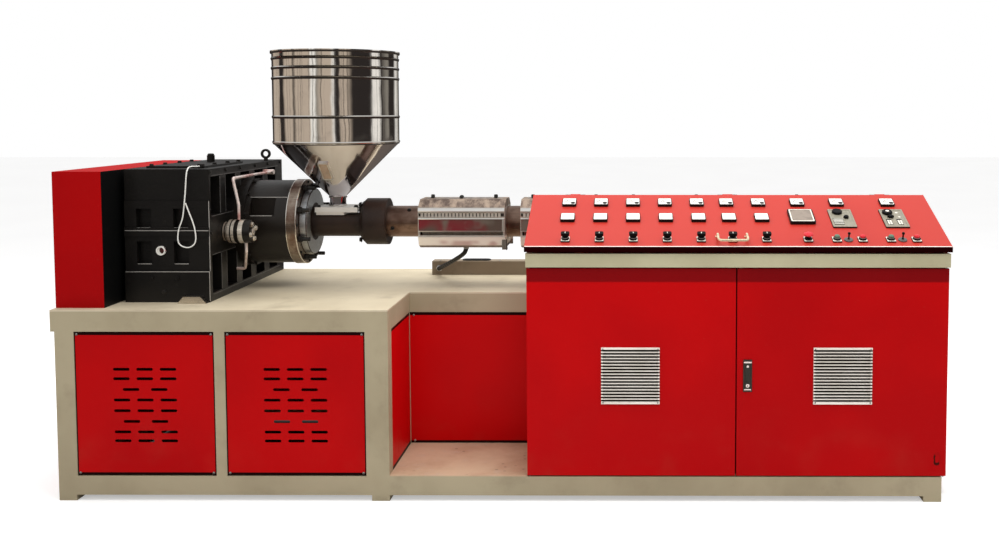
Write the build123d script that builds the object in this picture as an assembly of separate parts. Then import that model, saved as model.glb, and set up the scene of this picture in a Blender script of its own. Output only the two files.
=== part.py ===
from build123d import *
import math
import os

os.makedirs("parts", exist_ok=True)

# A single-screw plastic extruder on its welded bench, with the control console in front.
# Stations are millimetres from the bench's left end (x), from the front plane of the
# base (y, growing to the back) and from the floor (z). place() moves them to the frame
# whose origin is the middle of the floor under the machine.

# bench and its frame
base_left = 15
base_right = 3345
base_depth = 1040
bench_overhang = 15
bench_height = 727
bench_plate_thickness = 6
recess_start = 1266
recess_depth = 400
foot_height = 22
foot_length = 67
foot_width = 60
bottom_rail_height = 73
top_rail_height = 76
rail_width = 60
rail_wall = 6
left_post_width = 72
middle_post_left = 613
middle_post_width = 40
corner_post_width = 87
rear_middle_post = 2245
panel_sheet = 2
panel_inset = 2
seat_gap = 0.3

# louvred panels
louvre_side_gap = 2
louvre_end_gap = 4
louvre_lip = 16
louvre_lip_thickness = 3
slot_length = 62
slot_height = 11
slot_corner = 3.5
slot_pitch_wide = 88
slot_pitch_narrow = 106
slot_row_heights = (502, 466, 425, 385, 344, 303, 263, 229)
slot_row_counts = (3, 3, 2, 3, 3, 2, 3, 3)

# control cabinet and console
cabinet_left = 1786
cabinet_width = 1574
cabinet_depth = 398
cabinet_sheet = 2
cabinet_front = 26
cabinet_floor_thickness = 3
mullion_width = 50
mullion_depth = 40
band_bottom = 890
band_top = 941
band_proud = 8
band_side_overhang = 3
lid_front_overhang = 15
lid_side_overhang = 7
lid_front_height = 968
lid_back_height = 1130
lid_back = 400
lid_sheet = 2
lid_lip = 20
moving_gap = 5
door_thickness = 18
door_sheet = 2
door_rim = 20
door_split = 2570
pivot_inset = 9
pivot_radius = 4
pivot_reach = 20
pivot_clearance = 0.05
pivot_end_gap = 2
grille_width = 219
grille_height = 213
grille_centre_height = 481
grille_inset_left = 388
grille_inset_right = 398
grille_depth = 8
grille_rim = 6
grille_slats = 17
lock_width = 33
lock_height = 121
lock_bottom = 421
lock_inset = 26
lock_thickness = 4
lock_paddle_inset = 8
lock_paddle_rise = 30
lock_paddle_drop = 12
lock_paddle_thickness = 3
lid_hinge_radius = 4
lid_hinge_relief = 3
lid_pin_radius = 2.5
lid_hinge_stations = (1950, 2570, 3190)
lid_knuckle = 40
lid_leaf_height = 45
lid_leaf_thickness = 2
lid_leaf_gap = 1
lid_leaf_drop = 12

# console instruments, placed by distance up the lid's slope
zone_first = 1930
zone_pitch = 127.3
barrel_zones = 5
die_zones = 2
zone_group_gap = 118
display_x = 2840
keypad_x = (2997, 3199)
instrument_corner = 3
meter_row = 361
meter_size = 56
meter_height = 10
controller_row = 227
controller_size = 56
controller_height = 11
selector_row = 53
selector_base = 34
selector_base_height = 6
selector_radius = 15
selector_height = 22
selector_collar_height = 4
selector_knob_inset = 2
round_sides = 16
knob_thickness = 9
display_size = (98, 110)
display_row = 235
display_height = 12
keypad_size = (92, 150)
keypad_row = 225
keypad_height = 5
button_radius = 13
button_height = 12
button_offsets = (-50, -6, 46)
mushroom_radius = 18
mushroom_stem_radius = 9
mushroom_foot = 18
mushroom_height = 9
handle_x = 2557
handle_span = 110
handle_row = 80
handle_height = 14
handle_reach = 66
handle_droop = 16
handle_heel = 8
handle_bend = 16
handle_radius = 5
handle_sides = 8
handle_foot_radius = 8
handle_foot_height = 3

# drive
guard_left = 3
guard_width = 184
guard_front = 40
guard_back_gap = 40
guard_height = 516
gearbox_left = 210
gearbox_length = 330
gearbox_front = 170
gearbox_back_reach = 5
gearbox_base_height = 121
gearbox_base_proud = 8
gearbox_parting = 280
gearbox_ledge = 395
gearbox_height = 518
gearbox_ledge_step = 6
gearbox_flange = 22
gearbox_flange_proud = 5
pocket_width = 58
pocket_stations = (46, 190)
pocket_depth = 30
pocket_gap = 10
rib_pitch = 166
rib_first = 174
side_pocket_width = 108
side_pocket_depth = 45
side_pocket_margin = 20
side_pocket_floor = 32
side_pocket_lid = 30
side_belt_below = 100
side_belt_above = 56
boss_radius = 186
shaft_y = 330
shaft_boss_radius = 84
axis_y = 600
axis_height = 1000
top_cover_length = 230
top_cover_width = 420
top_cover_thickness = 8
top_cover_front = 260
breather_radius = 16
breather_height = 28
breather_inset = 60
eye_ring_radius = 17
eye_wire_radius = 5
eye_stem_height = 14
eye_stem_radius = 9
eye_inset = 30
eye_back_inset = 129
foot_clamp_length = 113
foot_clamp_top = 66
foot_clamp_height = 27
foot_clamp_depth = 30
foot_clamp_inset = 4
sight_x = 352
sight_height = 929
sight_radius = 18
sight_thickness = 10
sight_rim = 5
pump_radius = 47
pump_length = 112
pump_drop = 14
pump_flange_radius = 38
pump_flange_length = 20
pump_groove_share = 0.45
pump_groove_width = 13
pump_groove_depth = 7
pipe_radius = 6
upper_pipe_inset = 57
upper_pipe_rise = 60
upper_pipe_step = 22
upper_pipe_reach = 30
upper_pipe_bend = 14
upper_pipe_gap = 16
upper_pipe_back = 470
pipe_fitting_length = 45
pipe_fitting_radius = 11
lower_pipe_inset = 84
lower_pipe_drop = 35
lower_pipe_step = 50
lower_pipe_back = 120
lower_pipe_height = 91
lower_pipe_bend = 12

# thrust bearing housing and barrel line
housing_length = 213
housing_radius = 176
housing_flange_length = 42
housing_flange_radius = 184
housing_window_start = 62
housing_window_length = 103
housing_window_low = 40
housing_window_height = 72
housing_window_depth = 45
ring_length = 44
ring_radius = 180
ring_chamfer = 3
feed_flange_length = 30
feed_flange_radius = 140
bolt_circle_radius = 158
bolt_count = 8
bolt_head_radius = 13
bolt_nut_height = 16
bolt_stud_radius = 8
bolt_reach = 48
feed_radius = 64
feed_length = 237
feed_seat_height = 33
feed_seat_margin = 1
coupling_length = 109
coupling_radius = 99
coupling_chamfer = 18
barrel_radius = 66
barrel_bore_radius = 32.5
barrel_tail = 31
die_flange_length = 45
die_flange_radius = 105
die_bolt_circle = 164
die_bolt_count = 8
die_bolt_radius = 8.5
heater_first = 1287
heater_length = 363
heater_pitch = 428
heater_count = 4
heater_core_radius = 97
heater_core_sides = 12
heater_core_inset = 12
heater_half_width = 112
heater_top = 99
heater_top_half = 62
heater_shoulder = 68
heater_band_bottom = -32
heater_tray_top = -49
heater_tray_bottom = -105
heater_tray_round = 48
heater_round_share = 0.3
heater_shoulder_share = 0.5
heater_slit_inset = 8
heater_bore_sides = 24
heater_sheet = 1.5
heater_bolt_radius = 7
heater_bolt_height = 16
heater_bolt_stations = (44, 313)
stand_width = 120
stand_thickness = 20
stand_setback = 25

# hopper
hopper_x = 924
hopper_radius = 260
hopper_sheet = 2
drum_bottom = 1335
drum_top = 1720
bead_heights = (1690, 1650, 1608, 1448)
bead_radius = 4
rim_radius = 6
neck_radius = 34
neck_top = 1107
hopper_plate_offset = 12
hopper_plate_length = 178
hopper_plate_width = 160
hopper_plate_thickness = 21
hopper_gate_inset = 3
hopper_gate_length = 118
hopper_gate_width = 140
hopper_gate_thickness = 12
window_width = 38
window_length = 94
window_middle = 1225
window_turn = 3
window_thickness = 6

# wire that hangs in a loop in front of the gearbox, from its gland on the top cover
wire_radius = 2.5
wire_sides = 6
wire_gland_size = 16
wire_gland_x = 474
wire_gland_front = 250
wire_route = (
    (0, 0, 0), (0, -32, 0), (-10, -74, 3), (-12, -93, -15), (-15, -95, -49), (-18, -95, -93),
    (-24, -95, -148), (-31, -95, -201), (-48, -94, -237), (-54, -94, -285), (-41, -94, -305),
    (-13, -94, -313), (10, -94, -302), (19, -94, -281), (16, -94, -243), (7, -95, -207),
    (-8, -98, -165), (-16, -101, -137))

# cable ways
trunk_lead = 14
trunk_end_gap = 105
trunk_front = 870
trunk_depth = 70
trunk_height = 62
conduit_radius = 9
conduit_inset = 184
conduit_drop = 164
conduit_straight = 45
conduit_lead = 60
conduit_sides = 8

# values that follow from the sizes above
overall_left = base_left - bench_overhang
overall_right = cabinet_left + cabinet_width + lid_side_overhang
overall_back = base_depth + bench_overhang
rail_top = foot_height + bottom_rail_height
top_rail_bottom = bench_height - bench_plate_thickness - top_rail_height
top_rail_top = bench_height - bench_plate_thickness
cabinet_right = cabinet_left + cabinet_width
lid_left = cabinet_left - lid_side_overhang
lid_width = cabinet_width + 2 * lid_side_overhang
lid_run = lid_back + lid_front_overhang
lid_rise = lid_back_height - lid_front_height
lid_angle = math.degrees(math.atan2(lid_rise, lid_run))
lid_slope = math.hypot(lid_run, lid_rise)
gearbox_depth = base_depth + gearbox_back_reach - gearbox_front
guard_depth = base_depth - guard_front - guard_back_gap
gearbox_right = gearbox_left + gearbox_length
gearbox_back = gearbox_front + gearbox_depth
gearbox_top = bench_height + gearbox_height
parting_height = bench_height + gearbox_parting
housing_end = gearbox_right + housing_length
ring_end = housing_end + ring_length
feed_end = ring_end + feed_length
coupling_end = feed_end + coupling_length
heaters_end = heater_first + (heater_count - 1) * heater_pitch + heater_length
barrel_end = heaters_end + barrel_tail
stand_x = barrel_end - stand_setback
trunk_left = heater_first - trunk_lead
trunk_right = base_right - trunk_end_gap
gate_bottom = axis_height + feed_seat_height
plate_bottom = gate_bottom + hopper_gate_thickness
neck_bottom = plate_bottom + hopper_plate_thickness
plate_left = hopper_x + hopper_plate_offset - hopper_plate_length / 2
lid_axis_y = lid_back + lid_hinge_radius
lid_axis_z = lid_back_height - lid_hinge_radius
door_bottom = rail_top + moving_gap
door_top = band_bottom - moving_gap
left_pivot_x = cabinet_left + pivot_inset
right_pivot_x = cabinet_right - pivot_inset
low = (Align.MIN, Align.MIN, Align.MIN)
standing = (Align.CENTER, Align.CENTER, Align.MIN)


def place(shape):
    return Pos(-(overall_left + overall_right) / 2, -(overall_back - lid_front_overhang) / 2, 0) * shape


def save(node, *solids):
    flat = []
    for item in solids:
        flat.extend(place(item).solids())
    shape = flat[0] if len(flat) == 1 else Compound(children=flat)
    export_step(shape, f"parts/{node}.step")


def block(x0, x1, y0, y1, z0, z1):
    return Pos(x0, y0, z0) * Box(x1 - x0, y1 - y0, z1 - z0, align=low)


def rod_x(x0, length, radius, y=axis_y, z=axis_height):
    return Pos(x0, y, z) * Rot(0, 90, 0) * Cylinder(radius, length, align=standing)


def rod_y(x, y0, length, radius, z):
    return Pos(x, y0, z) * Rot(-90, 0, 0) * Cylinder(radius, length, align=standing)


def prism_x(points, x0, length):
    """Extrude an outline given as (y, z) points along x."""
    wire = Polyline(*[(y, z) for y, z in points], close=True)
    face = Plane(origin=(x0, 0, 0), x_dir=(0, 1, 0), z_dir=(1, 0, 0)) * make_face(wire)
    return extrude(face, amount=length)


def prism_y(points, y0, length):
    """Extrude an outline given as (x, z) points along y."""
    wire = Polyline(*[(x, z) for x, z in points], close=True)
    face = Plane(origin=(0, y0, 0), x_dir=(1, 0, 0), z_dir=(0, -1, 0)) * make_face(wire)
    return extrude(face, amount=-length)


def channel_x(x0, x1, y0, y1, z0, z1, web_at_low_y=True):
    """A channel beam along x with its web on one side and its flanges pointing inwards."""
    inner0 = y0 + rail_wall if web_at_low_y else y0
    inner1 = y1 if web_at_low_y else y1 - rail_wall
    return block(x0, x1, y0, y1, z0, z1) - block(x0, x1, inner0, inner1, z0 + rail_wall, z1 - rail_wall)


def channel_y(x0, x1, y0, y1, z0, z1, web_at_low_x=True):
    inner0 = x0 + rail_wall if web_at_low_x else x0
    inner1 = x1 if web_at_low_x else x1 - rail_wall
    return block(x0, x1, y0, y1, z0, z1) - block(inner0, inner1, y0, y1, z0 + rail_wall, z1 - rail_wall)


def on_lid(x, row, height=0):
    """The lid's own frame: x across, y up the slope, z out of the sheet."""
    front = Pos(0, -lid_front_overhang, lid_front_height) * Rot(lid_angle, 0, 0)
    return front * Pos(x, row, height)


# frame of the bench
def bottom_rails():
    z0, z1 = foot_height, rail_top
    front = channel_x(base_left, base_right, 0, rail_width, z0, z1)
    recess = channel_x(recess_start, base_right, recess_depth, recess_depth + rail_width, z0, z1)
    rear = channel_x(base_left, base_right, base_depth - rail_width, base_depth, z0, z1, False)
    return front, recess, rear


def bottom_cross_rails():
    z0, z1 = foot_height, rail_top
    back = base_depth - rail_width
    inner = recess_depth + rail_width
    left = channel_y(base_left, base_left + rail_width, rail_width, back, z0, z1)
    middle = channel_y(recess_start - rail_width, recess_start, rail_width, back, z0, z1, False)
    under_cabinet = channel_y(cabinet_left, cabinet_left + rail_width, rail_width, recess_depth, z0, z1)
    right_front = channel_y(base_right - rail_width, base_right, rail_width, recess_depth, z0, z1, False)
    right_back = channel_y(base_right - rail_width, base_right, inner, back, z0, z1, False)
    return left, middle, under_cabinet, right_front, right_back


def post(x0, width, y0):
    return block(x0, x0 + width, y0, y0 + rail_width, rail_top, top_rail_bottom)


def lip(x0, x1):
    """The strip behind a louvred panel's edge that its screws hold on to."""
    return block(x0, x1, panel_inset + panel_sheet, panel_inset + panel_sheet + louvre_lip_thickness,
                 rail_top, top_rail_bottom)


def frame_posts():
    left_edge = base_left + left_post_width
    middle_edge = middle_post_left + middle_post_width
    corner_left = recess_start - corner_post_width
    left = post(base_left, left_post_width, 0) + lip(left_edge, left_edge + louvre_lip)
    middle = post(middle_post_left, middle_post_width, 0)
    middle += lip(middle_post_left - louvre_lip, middle_post_left)
    middle += lip(middle_edge, middle_edge + louvre_lip)
    corner = post(corner_left, corner_post_width, 0) + lip(corner_left - louvre_lip, corner_left)
    inner = post(recess_start - rail_width, rail_width, recess_depth)
    right = post(base_right - rail_width, rail_width, recess_depth)
    rear_y = base_depth - rail_width
    rear = [post(x, rail_width, rear_y) for x in
            (base_left, recess_start - rail_width, rear_middle_post, base_right - rail_width)]
    return [left, middle, corner, inner, right] + rear


def top_rails():
    z0, z1 = top_rail_bottom, top_rail_top
    front = channel_x(overall_left, recess_start, 0, rail_width, z0, z1)
    recess = channel_x(recess_start, base_right, recess_depth, recess_depth + rail_width, z0, z1)
    rear = channel_x(overall_left, base_right, overall_back - rail_width - bench_overhang, overall_back,
                     z0, z1, False)
    return front, recess, rear


def top_cross_rails():
    z0, z1 = top_rail_bottom, top_rail_top
    back = overall_back - rail_width - bench_overhang
    left = channel_y(overall_left, overall_left + rail_width, rail_width, back, z0, z1)
    middle = channel_y(recess_start - rail_width, recess_start, rail_width, back, z0, z1, False)
    right = channel_y(base_right - rail_width, base_right, recess_depth + rail_width, back, z0, z1, False)
    return left, middle, right


def bench_plate():
    left = block(overall_left, recess_start, 0, overall_back, top_rail_top, bench_height)
    right = block(recess_start, base_right, recess_depth, overall_back, top_rail_top, bench_height)
    return left + right


def machine_feet():
    feet = []
    for x in (base_left, recess_start - foot_length, base_right - foot_length):
        for y in (0, base_depth - foot_width):
            feet.append(block(x, x + foot_length, y, y + foot_width, 0, foot_height))
    return feet


# sheet panels of the bench
def slot(x, z):
    """A louvre slot with its four corners cut off."""
    half, rise = slot_length / 2, slot_height / 2
    corners = [(half, rise - slot_corner), (half - slot_corner, rise)]
    corners += [(-across, up) for across, up in reversed(corners)]
    corners += [(-across, -up) for across, up in corners]
    outline = [(x + across, z + up) for across, up in corners]
    return prism_y(outline, panel_inset - 1, panel_sheet + 2)


def louvre_panel(x0, x1):
    panel = block(x0 + louvre_side_gap, x1 - louvre_side_gap, panel_inset, panel_inset + panel_sheet,
                  rail_top + louvre_end_gap, top_rail_bottom - louvre_end_gap)
    middle = (x0 + x1) / 2
    for height, count in zip(slot_row_heights, slot_row_counts):
        offsets = (-slot_pitch_wide, 0, slot_pitch_wide) if count == 3 else (
            -slot_pitch_narrow / 2, slot_pitch_narrow / 2)
        for offset in offsets:
            panel -= slot(middle + offset, height)
    return panel


def inset_panel_x(x0, x1, y0):
    return block(x0 + seat_gap, x1 - seat_gap, y0, y0 + panel_sheet, rail_top + seat_gap,
                 top_rail_bottom - seat_gap)


def inset_panel_y(x0, y0, y1):
    return block(x0, x0 + panel_sheet, y0 + seat_gap, y1 - seat_gap, rail_top + seat_gap,
                 top_rail_bottom - seat_gap)


def rear_panels():
    y0 = base_depth - panel_inset - panel_sheet
    return (inset_panel_x(base_left + rail_width, recess_start - rail_width, y0),
            inset_panel_x(recess_start, rear_middle_post, y0),
            inset_panel_x(rear_middle_post + rail_width, base_right - rail_width, y0))


# control cabinet
def lid_line(y, below=0):
    """Height of the lid's top surface above y, or of a line so far below it."""
    return lid_front_height + (y + lid_front_overhang) * lid_rise / lid_run - below


def cabinet_side(x0):
    drop = (lid_sheet + moving_gap) / math.cos(math.radians(lid_angle))
    outline = [(cabinet_front, rail_top), (cabinet_depth, rail_top),
               (cabinet_depth, lid_line(cabinet_depth, drop)),
               (cabinet_front, lid_line(cabinet_front, drop))]
    return prism_x(outline, x0, cabinet_sheet)


def cabinet_back():
    drop = (lid_sheet + moving_gap) / math.cos(math.radians(lid_angle))
    y0 = cabinet_depth - cabinet_sheet
    return block(cabinet_left + cabinet_sheet, cabinet_right - cabinet_sheet, y0, cabinet_depth, rail_top,
                 lid_line(y0, drop))


def cabinet_floor():
    return block(cabinet_left + cabinet_sheet, cabinet_right - cabinet_sheet, cabinet_front,
                 cabinet_depth - cabinet_sheet, rail_top, rail_top + cabinet_floor_thickness)


def recess_floor():
    return block(recess_start, cabinet_left, 0, recess_depth, rail_top, rail_top + cabinet_floor_thickness)


def cabinet_mullion():
    return block(door_split - mullion_width / 2, door_split + mullion_width / 2, cabinet_front,
                 cabinet_front + mullion_depth, rail_top + cabinet_floor_thickness, band_top)


def console_band():
    return block(cabinet_left - band_side_overhang, cabinet_right + band_side_overhang, -band_proud,
                 cabinet_front, band_bottom, band_top)


def door(x0, x1, pivot_x):
    """A folded steel pan with a solid strip down the hinge side for its two pivots."""
    leaf = block(x0, x1, 0, door_thickness, door_bottom, door_top)
    strip = 2 * pivot_inset
    inner0 = x0 + (strip if pivot_x < door_split else door_rim)
    inner1 = x1 - (strip if pivot_x > door_split else door_rim)
    leaf -= block(inner0, inner1, door_sheet, door_thickness, door_bottom + door_rim, door_top - door_rim)
    hole = Cylinder(pivot_radius + pivot_clearance, pivot_reach, align=standing)
    leaf -= Pos(pivot_x, pivot_inset, door_bottom) * hole
    leaf -= Pos(pivot_x, pivot_inset, door_top - pivot_reach) * hole
    return leaf


def door_pivots():
    reach = pivot_reach + moving_gap - pivot_end_gap
    pin = Cylinder(pivot_radius, reach, align=standing)
    pins = []
    for x in (left_pivot_x, right_pivot_x):
        pins.append(Pos(x, pivot_inset, rail_top) * pin)
        pins.append(Pos(x, pivot_inset, band_bottom - reach) * pin)
    return pins


def grille(x_middle):
    """One pressed grille: a flat rim with sloping slats between its top and bottom edges."""
    z0 = grille_centre_height - grille_height / 2
    pitch = (grille_height - 2 * grille_rim) / grille_slats
    outline = [(0, z0), (-grille_depth, z0), (-grille_depth, z0 + grille_rim)]
    for index in range(grille_slats):
        foot = z0 + grille_rim + index * pitch
        outline.append((-grille_rim / 2, foot + pitch * 0.25))
        outline.append((-grille_depth, foot + pitch))
    outline.append((-grille_depth, z0 + grille_height))
    outline.append((0, z0 + grille_height))
    slats = prism_x(outline, x_middle - grille_width / 2, grille_width)
    sides = [block(x, x + grille_rim, -grille_depth, 0, z0, z0 + grille_height)
             for x in (x_middle - grille_width / 2, x_middle + grille_width / 2 - grille_rim)]
    return slats + sides[0] + sides[1]


def door_lock():
    x0 = door_split + lock_inset
    plate = block(x0, x0 + lock_width, -lock_thickness, 0, lock_bottom, lock_bottom + lock_height)
    paddle = block(x0 + lock_paddle_inset, x0 + lock_width - lock_paddle_inset,
                   -lock_thickness - lock_paddle_thickness, -lock_thickness,
                   lock_bottom + lock_paddle_rise, lock_bottom + lock_height - lock_paddle_drop)
    return plate + paddle


def console_lid():
    """The sloping instrument panel: a sheet with a lip down its front and both sides."""
    sheet = on_lid(lid_left, 0, -lid_sheet) * Box(lid_width, lid_slope - lid_hinge_relief, lid_sheet,
                                                  align=low)
    front = block(lid_left, lid_left + lid_width, -lid_front_overhang, lid_sheet - lid_front_overhang,
                  lid_front_height - lid_lip, lid_front_height)
    side = [(-lid_front_overhang, lid_front_height - lid_lip), (-lid_front_overhang, lid_front_height),
            (lid_back, lid_back_height), (lid_back, lid_back_height - lid_lip)]
    left = prism_x(side, lid_left, lid_sheet)
    right = prism_x(side, lid_left + lid_width - lid_sheet, lid_sheet)
    lid = sheet + front + left + right
    for x in lid_hinge_stations:
        tab = on_lid(x - lid_knuckle / 2, lid_slope - 2 * lid_hinge_relief, -lid_sheet) * Box(
            lid_knuckle, 2 * lid_hinge_relief + lid_hinge_radius, lid_sheet, align=low)
        lid += tab
        lid += rod_x(x - lid_knuckle / 2, lid_knuckle, lid_hinge_radius, lid_axis_y, lid_axis_z)
        lid -= rod_x(x - lid_knuckle / 2, lid_knuckle, lid_pin_radius + pivot_clearance, lid_axis_y,
                     lid_axis_z)
    return lid


def lid_hinges():
    hinges = []
    reach = lid_knuckle / 2 + seat_gap
    for x in lid_hinge_stations:
        hinge = rod_x(x - lid_knuckle - seat_gap, 2 * (lid_knuckle + seat_gap), lid_pin_radius, lid_axis_y,
                      lid_axis_z)
        for x0 in (x - reach - lid_knuckle / 2, x + reach):
            hinge += rod_x(x0, lid_knuckle / 2, lid_hinge_radius, lid_axis_y, lid_axis_z)
            hinge += block(x0, x0 + lid_knuckle / 2, cabinet_depth, lid_axis_y - lid_leaf_gap,
                           lid_axis_z - lid_leaf_height, lid_axis_z - lid_leaf_gap)
        hinge += block(x - reach - lid_knuckle / 2, x + reach + lid_knuckle / 2, cabinet_depth,
                       cabinet_depth + lid_leaf_thickness, lid_axis_z - lid_leaf_height,
                       lid_axis_z - lid_leaf_drop)
        hinges.append(hinge)
    return hinges


# console instruments
def zone_stations():
    """Barrel zones first, then the die's zones, which stand a little apart from them."""
    barrel_row = [zone_first + index * zone_pitch for index in range(barrel_zones)]
    die_first = barrel_row[-1] + zone_group_gap
    return barrel_row + [die_first + index * zone_pitch for index in range(die_zones)]


def instrument(x, row, size_x, size_y, height):
    body = on_lid(x, row) * Box(size_x, size_y, height, align=standing)
    edges = body.edges().filter_by(lambda edge: abs(edge.length - height) < 0.01)
    return chamfer(edges, instrument_corner)


def meters():
    stations = zone_stations() + [display_x] + list(keypad_x)
    return [instrument(x, meter_row, meter_size, meter_size, meter_height) for x in stations]


def controllers():
    return [instrument(x, controller_row, controller_size, controller_size, controller_height)
            for x in zone_stations()]


def stub(x, foot, radius, height):
    """An upright many-sided stub on the lid, at a height above the row of switches."""
    return on_lid(x, selector_row, foot) * extrude(RegularPolygon(radius, round_sides), amount=height)


def switch_base(x):
    return on_lid(x, selector_row) * Box(selector_base, selector_base, selector_base_height, align=standing)


def selector_switches():
    switches = []
    knob_foot = selector_base_height + selector_collar_height
    for x in zone_stations():
        collar = stub(x, selector_base_height, selector_radius, selector_collar_height)
        knob = on_lid(x, selector_row, knob_foot) * Box(
            knob_thickness, 2 * (selector_radius - selector_knob_inset), selector_height - knob_foot,
            align=standing)
        switches.append(switch_base(x) + collar + knob)
    return switches


def display_unit():
    return instrument(display_x, display_row, display_size[0], display_size[1], display_height)


def keypad_units():
    return [instrument(x, keypad_row, keypad_size[0], keypad_size[1], keypad_height) for x in keypad_x]


def push_buttons():
    buttons = [stub(x + offset, 0, button_radius, button_height) for x in keypad_x
               for offset in button_offsets]
    stem = stub(display_x, selector_base_height, mushroom_stem_radius, mushroom_foot - selector_base_height)
    head = stub(display_x, mushroom_foot, mushroom_radius, mushroom_height)
    return buttons + [switch_base(display_x) + stem + head]


def cut_corner(before, corner, after, cut):
    """The two points that stand for a corner where its bend begins and ends."""
    corner = Vector(*corner)
    back = (Vector(*before) - corner).normalized()
    onward = (Vector(*after) - corner).normalized()
    return [corner + back * cut, corner + onward * cut]


def lid_handle():
    half = handle_span / 2
    lean = math.radians(lid_angle - handle_droop)
    reach_y = -handle_reach * math.cos(lean)
    reach_z = handle_height + handle_reach * math.sin(lean)
    corners = [(-half, 0, 0), (-half, 0, handle_height), (-half, reach_y, reach_z),
               (half, reach_y, reach_z), (half, 0, handle_height), (half, 0, 0)]
    cuts = (handle_heel, handle_bend, handle_bend, handle_heel)
    route = [corners[0]]
    for before, corner, after, cut in zip(corners, corners[1:], corners[2:], cuts):
        route += cut_corner(before, corner, after, cut)
    bow = mitred(route + [corners[-1]], handle_radius, handle_sides)
    foot = extrude(RegularPolygon(handle_foot_radius, round_sides), amount=handle_foot_height)
    bow = bow + Pos(-half, 0, 0) * foot + Pos(half, 0, 0) * foot
    return on_lid(handle_x, handle_row) * bow


# drive
def belt_guard():
    return block(guard_left, guard_left + guard_width, guard_front, guard_front + guard_depth, bench_height,
                 bench_height + guard_height)


def front_pocket(x0, z0, z1):
    return block(x0, x0 + pocket_width, gearbox_front - gearbox_flange_proud, gearbox_front + pocket_depth,
                 z0, z1)


def side_pockets(z0, z1):
    """The recesses between the ribs of the casting's barrel-side wall."""
    pockets = []
    y0 = gearbox_front + rib_first - rib_pitch
    while y0 < gearbox_back - side_pocket_margin:
        start = max(y0, gearbox_front + side_pocket_margin)
        end = min(y0 + side_pocket_width, gearbox_back - side_pocket_margin)
        if end - start > side_pocket_margin:
            pockets.append(block(gearbox_right - side_pocket_depth, gearbox_right + 1, start, end, z0, z1))
        y0 += rib_pitch
    return pockets


def bearing_bosses():
    main = rod_x(gearbox_right - side_pocket_depth, side_pocket_depth, boss_radius)
    side = rod_x(gearbox_right - side_pocket_depth, side_pocket_depth, shaft_boss_radius, shaft_y,
                 axis_height - pump_drop)
    return main + side


def gearbox_lower():
    floor = bench_height
    base_top = floor + gearbox_base_height
    body = block(gearbox_left, gearbox_right, gearbox_front, gearbox_back, floor, parting_height)
    body += block(gearbox_left, gearbox_right, gearbox_front - gearbox_base_proud,
                  gearbox_back, floor, base_top)
    body += block(gearbox_left, gearbox_right, gearbox_front - gearbox_flange_proud,
                  gearbox_back, parting_height - gearbox_flange, parting_height)
    for station in pocket_stations:
        body -= front_pocket(gearbox_left + station, base_top + pocket_gap * 3,
                             parting_height - gearbox_flange - pocket_gap * 2)
    for pocket in side_pockets(floor + side_pocket_floor, parting_height - side_belt_below):
        body -= pocket
    bosses = bearing_bosses() & block(gearbox_left, gearbox_right, gearbox_front, gearbox_back, floor,
                                      parting_height)
    return body + bosses


def gearbox_upper():
    ledge = bench_height + gearbox_ledge
    body = block(gearbox_left, gearbox_right, gearbox_front, gearbox_back, parting_height, ledge)
    body += block(gearbox_left, gearbox_right, gearbox_front + gearbox_ledge_step, gearbox_back, ledge,
                  gearbox_top)
    body += block(gearbox_left, gearbox_right, gearbox_front - gearbox_flange_proud, gearbox_back,
                  parting_height, parting_height + gearbox_flange / 2)
    for station in pocket_stations:
        body -= front_pocket(gearbox_left + station, parting_height + gearbox_flange / 2,
                             ledge - pocket_gap * 3)
    for pocket in side_pockets(parting_height + side_belt_above, gearbox_top - side_pocket_lid):
        body -= pocket
    bosses = bearing_bosses() & block(gearbox_left, gearbox_right, gearbox_front, gearbox_back,
                                      parting_height, gearbox_top)
    return body + bosses


def gearbox_cover():
    x0 = gearbox_left + (gearbox_length - top_cover_length) / 2
    plate = block(x0, x0 + top_cover_length, top_cover_front, top_cover_front + top_cover_width, gearbox_top,
                  gearbox_top + top_cover_thickness)
    breather = Pos(x0 + top_cover_length / 2, top_cover_front + top_cover_width - breather_inset,
                   gearbox_top + top_cover_thickness) * Cylinder(breather_radius, breather_height,
                                                                 align=standing)
    gland = block(wire_gland_x - wire_gland_size / 2, wire_gland_x + wire_gland_size / 2, wire_gland_front,
                  top_cover_front, gearbox_top, gearbox_top + wire_gland_size)
    return plate + breather + gland


def mitred(points, radius, sides):
    """A run with straight lengths and mitred corners, its section a regular polygon."""
    path = Polyline(*points)
    section = Plane(origin=path @ 0, z_dir=path % 0) * RegularPolygon(radius, sides)
    return sweep(section, path=path, transition=Transition.RIGHT)


def hanging_wire():
    gland = Pos(wire_gland_x, wire_gland_front, gearbox_top + wire_gland_size / 2)
    return gland * mitred(wire_route, wire_radius, wire_sides)


def lifting_eye():
    x = gearbox_right - eye_inset
    y = gearbox_back - eye_back_inset
    stem = Pos(x, y, gearbox_top) * Cylinder(eye_stem_radius, eye_stem_height, align=standing)
    ring = Cylinder(eye_ring_radius + eye_wire_radius, 2 * eye_wire_radius)
    ring -= Cylinder(eye_ring_radius - eye_wire_radius, 2 * eye_wire_radius)
    centre = gearbox_top + eye_stem_height + eye_ring_radius
    return stem + Pos(x, y, centre) * Rot(90, 0, 0) * ring


def foot_clamps():
    x1 = gearbox_right - foot_clamp_inset
    x0 = x1 - foot_clamp_length
    shoulder = (foot_clamp_length - foot_clamp_top) / 2
    outline = [(x0, bench_height), (x1, bench_height),
               (x1 - shoulder, bench_height + foot_clamp_height),
               (x0 + shoulder, bench_height + foot_clamp_height)]
    return prism_y(outline, gearbox_front - gearbox_base_proud - foot_clamp_depth, foot_clamp_depth)


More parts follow.
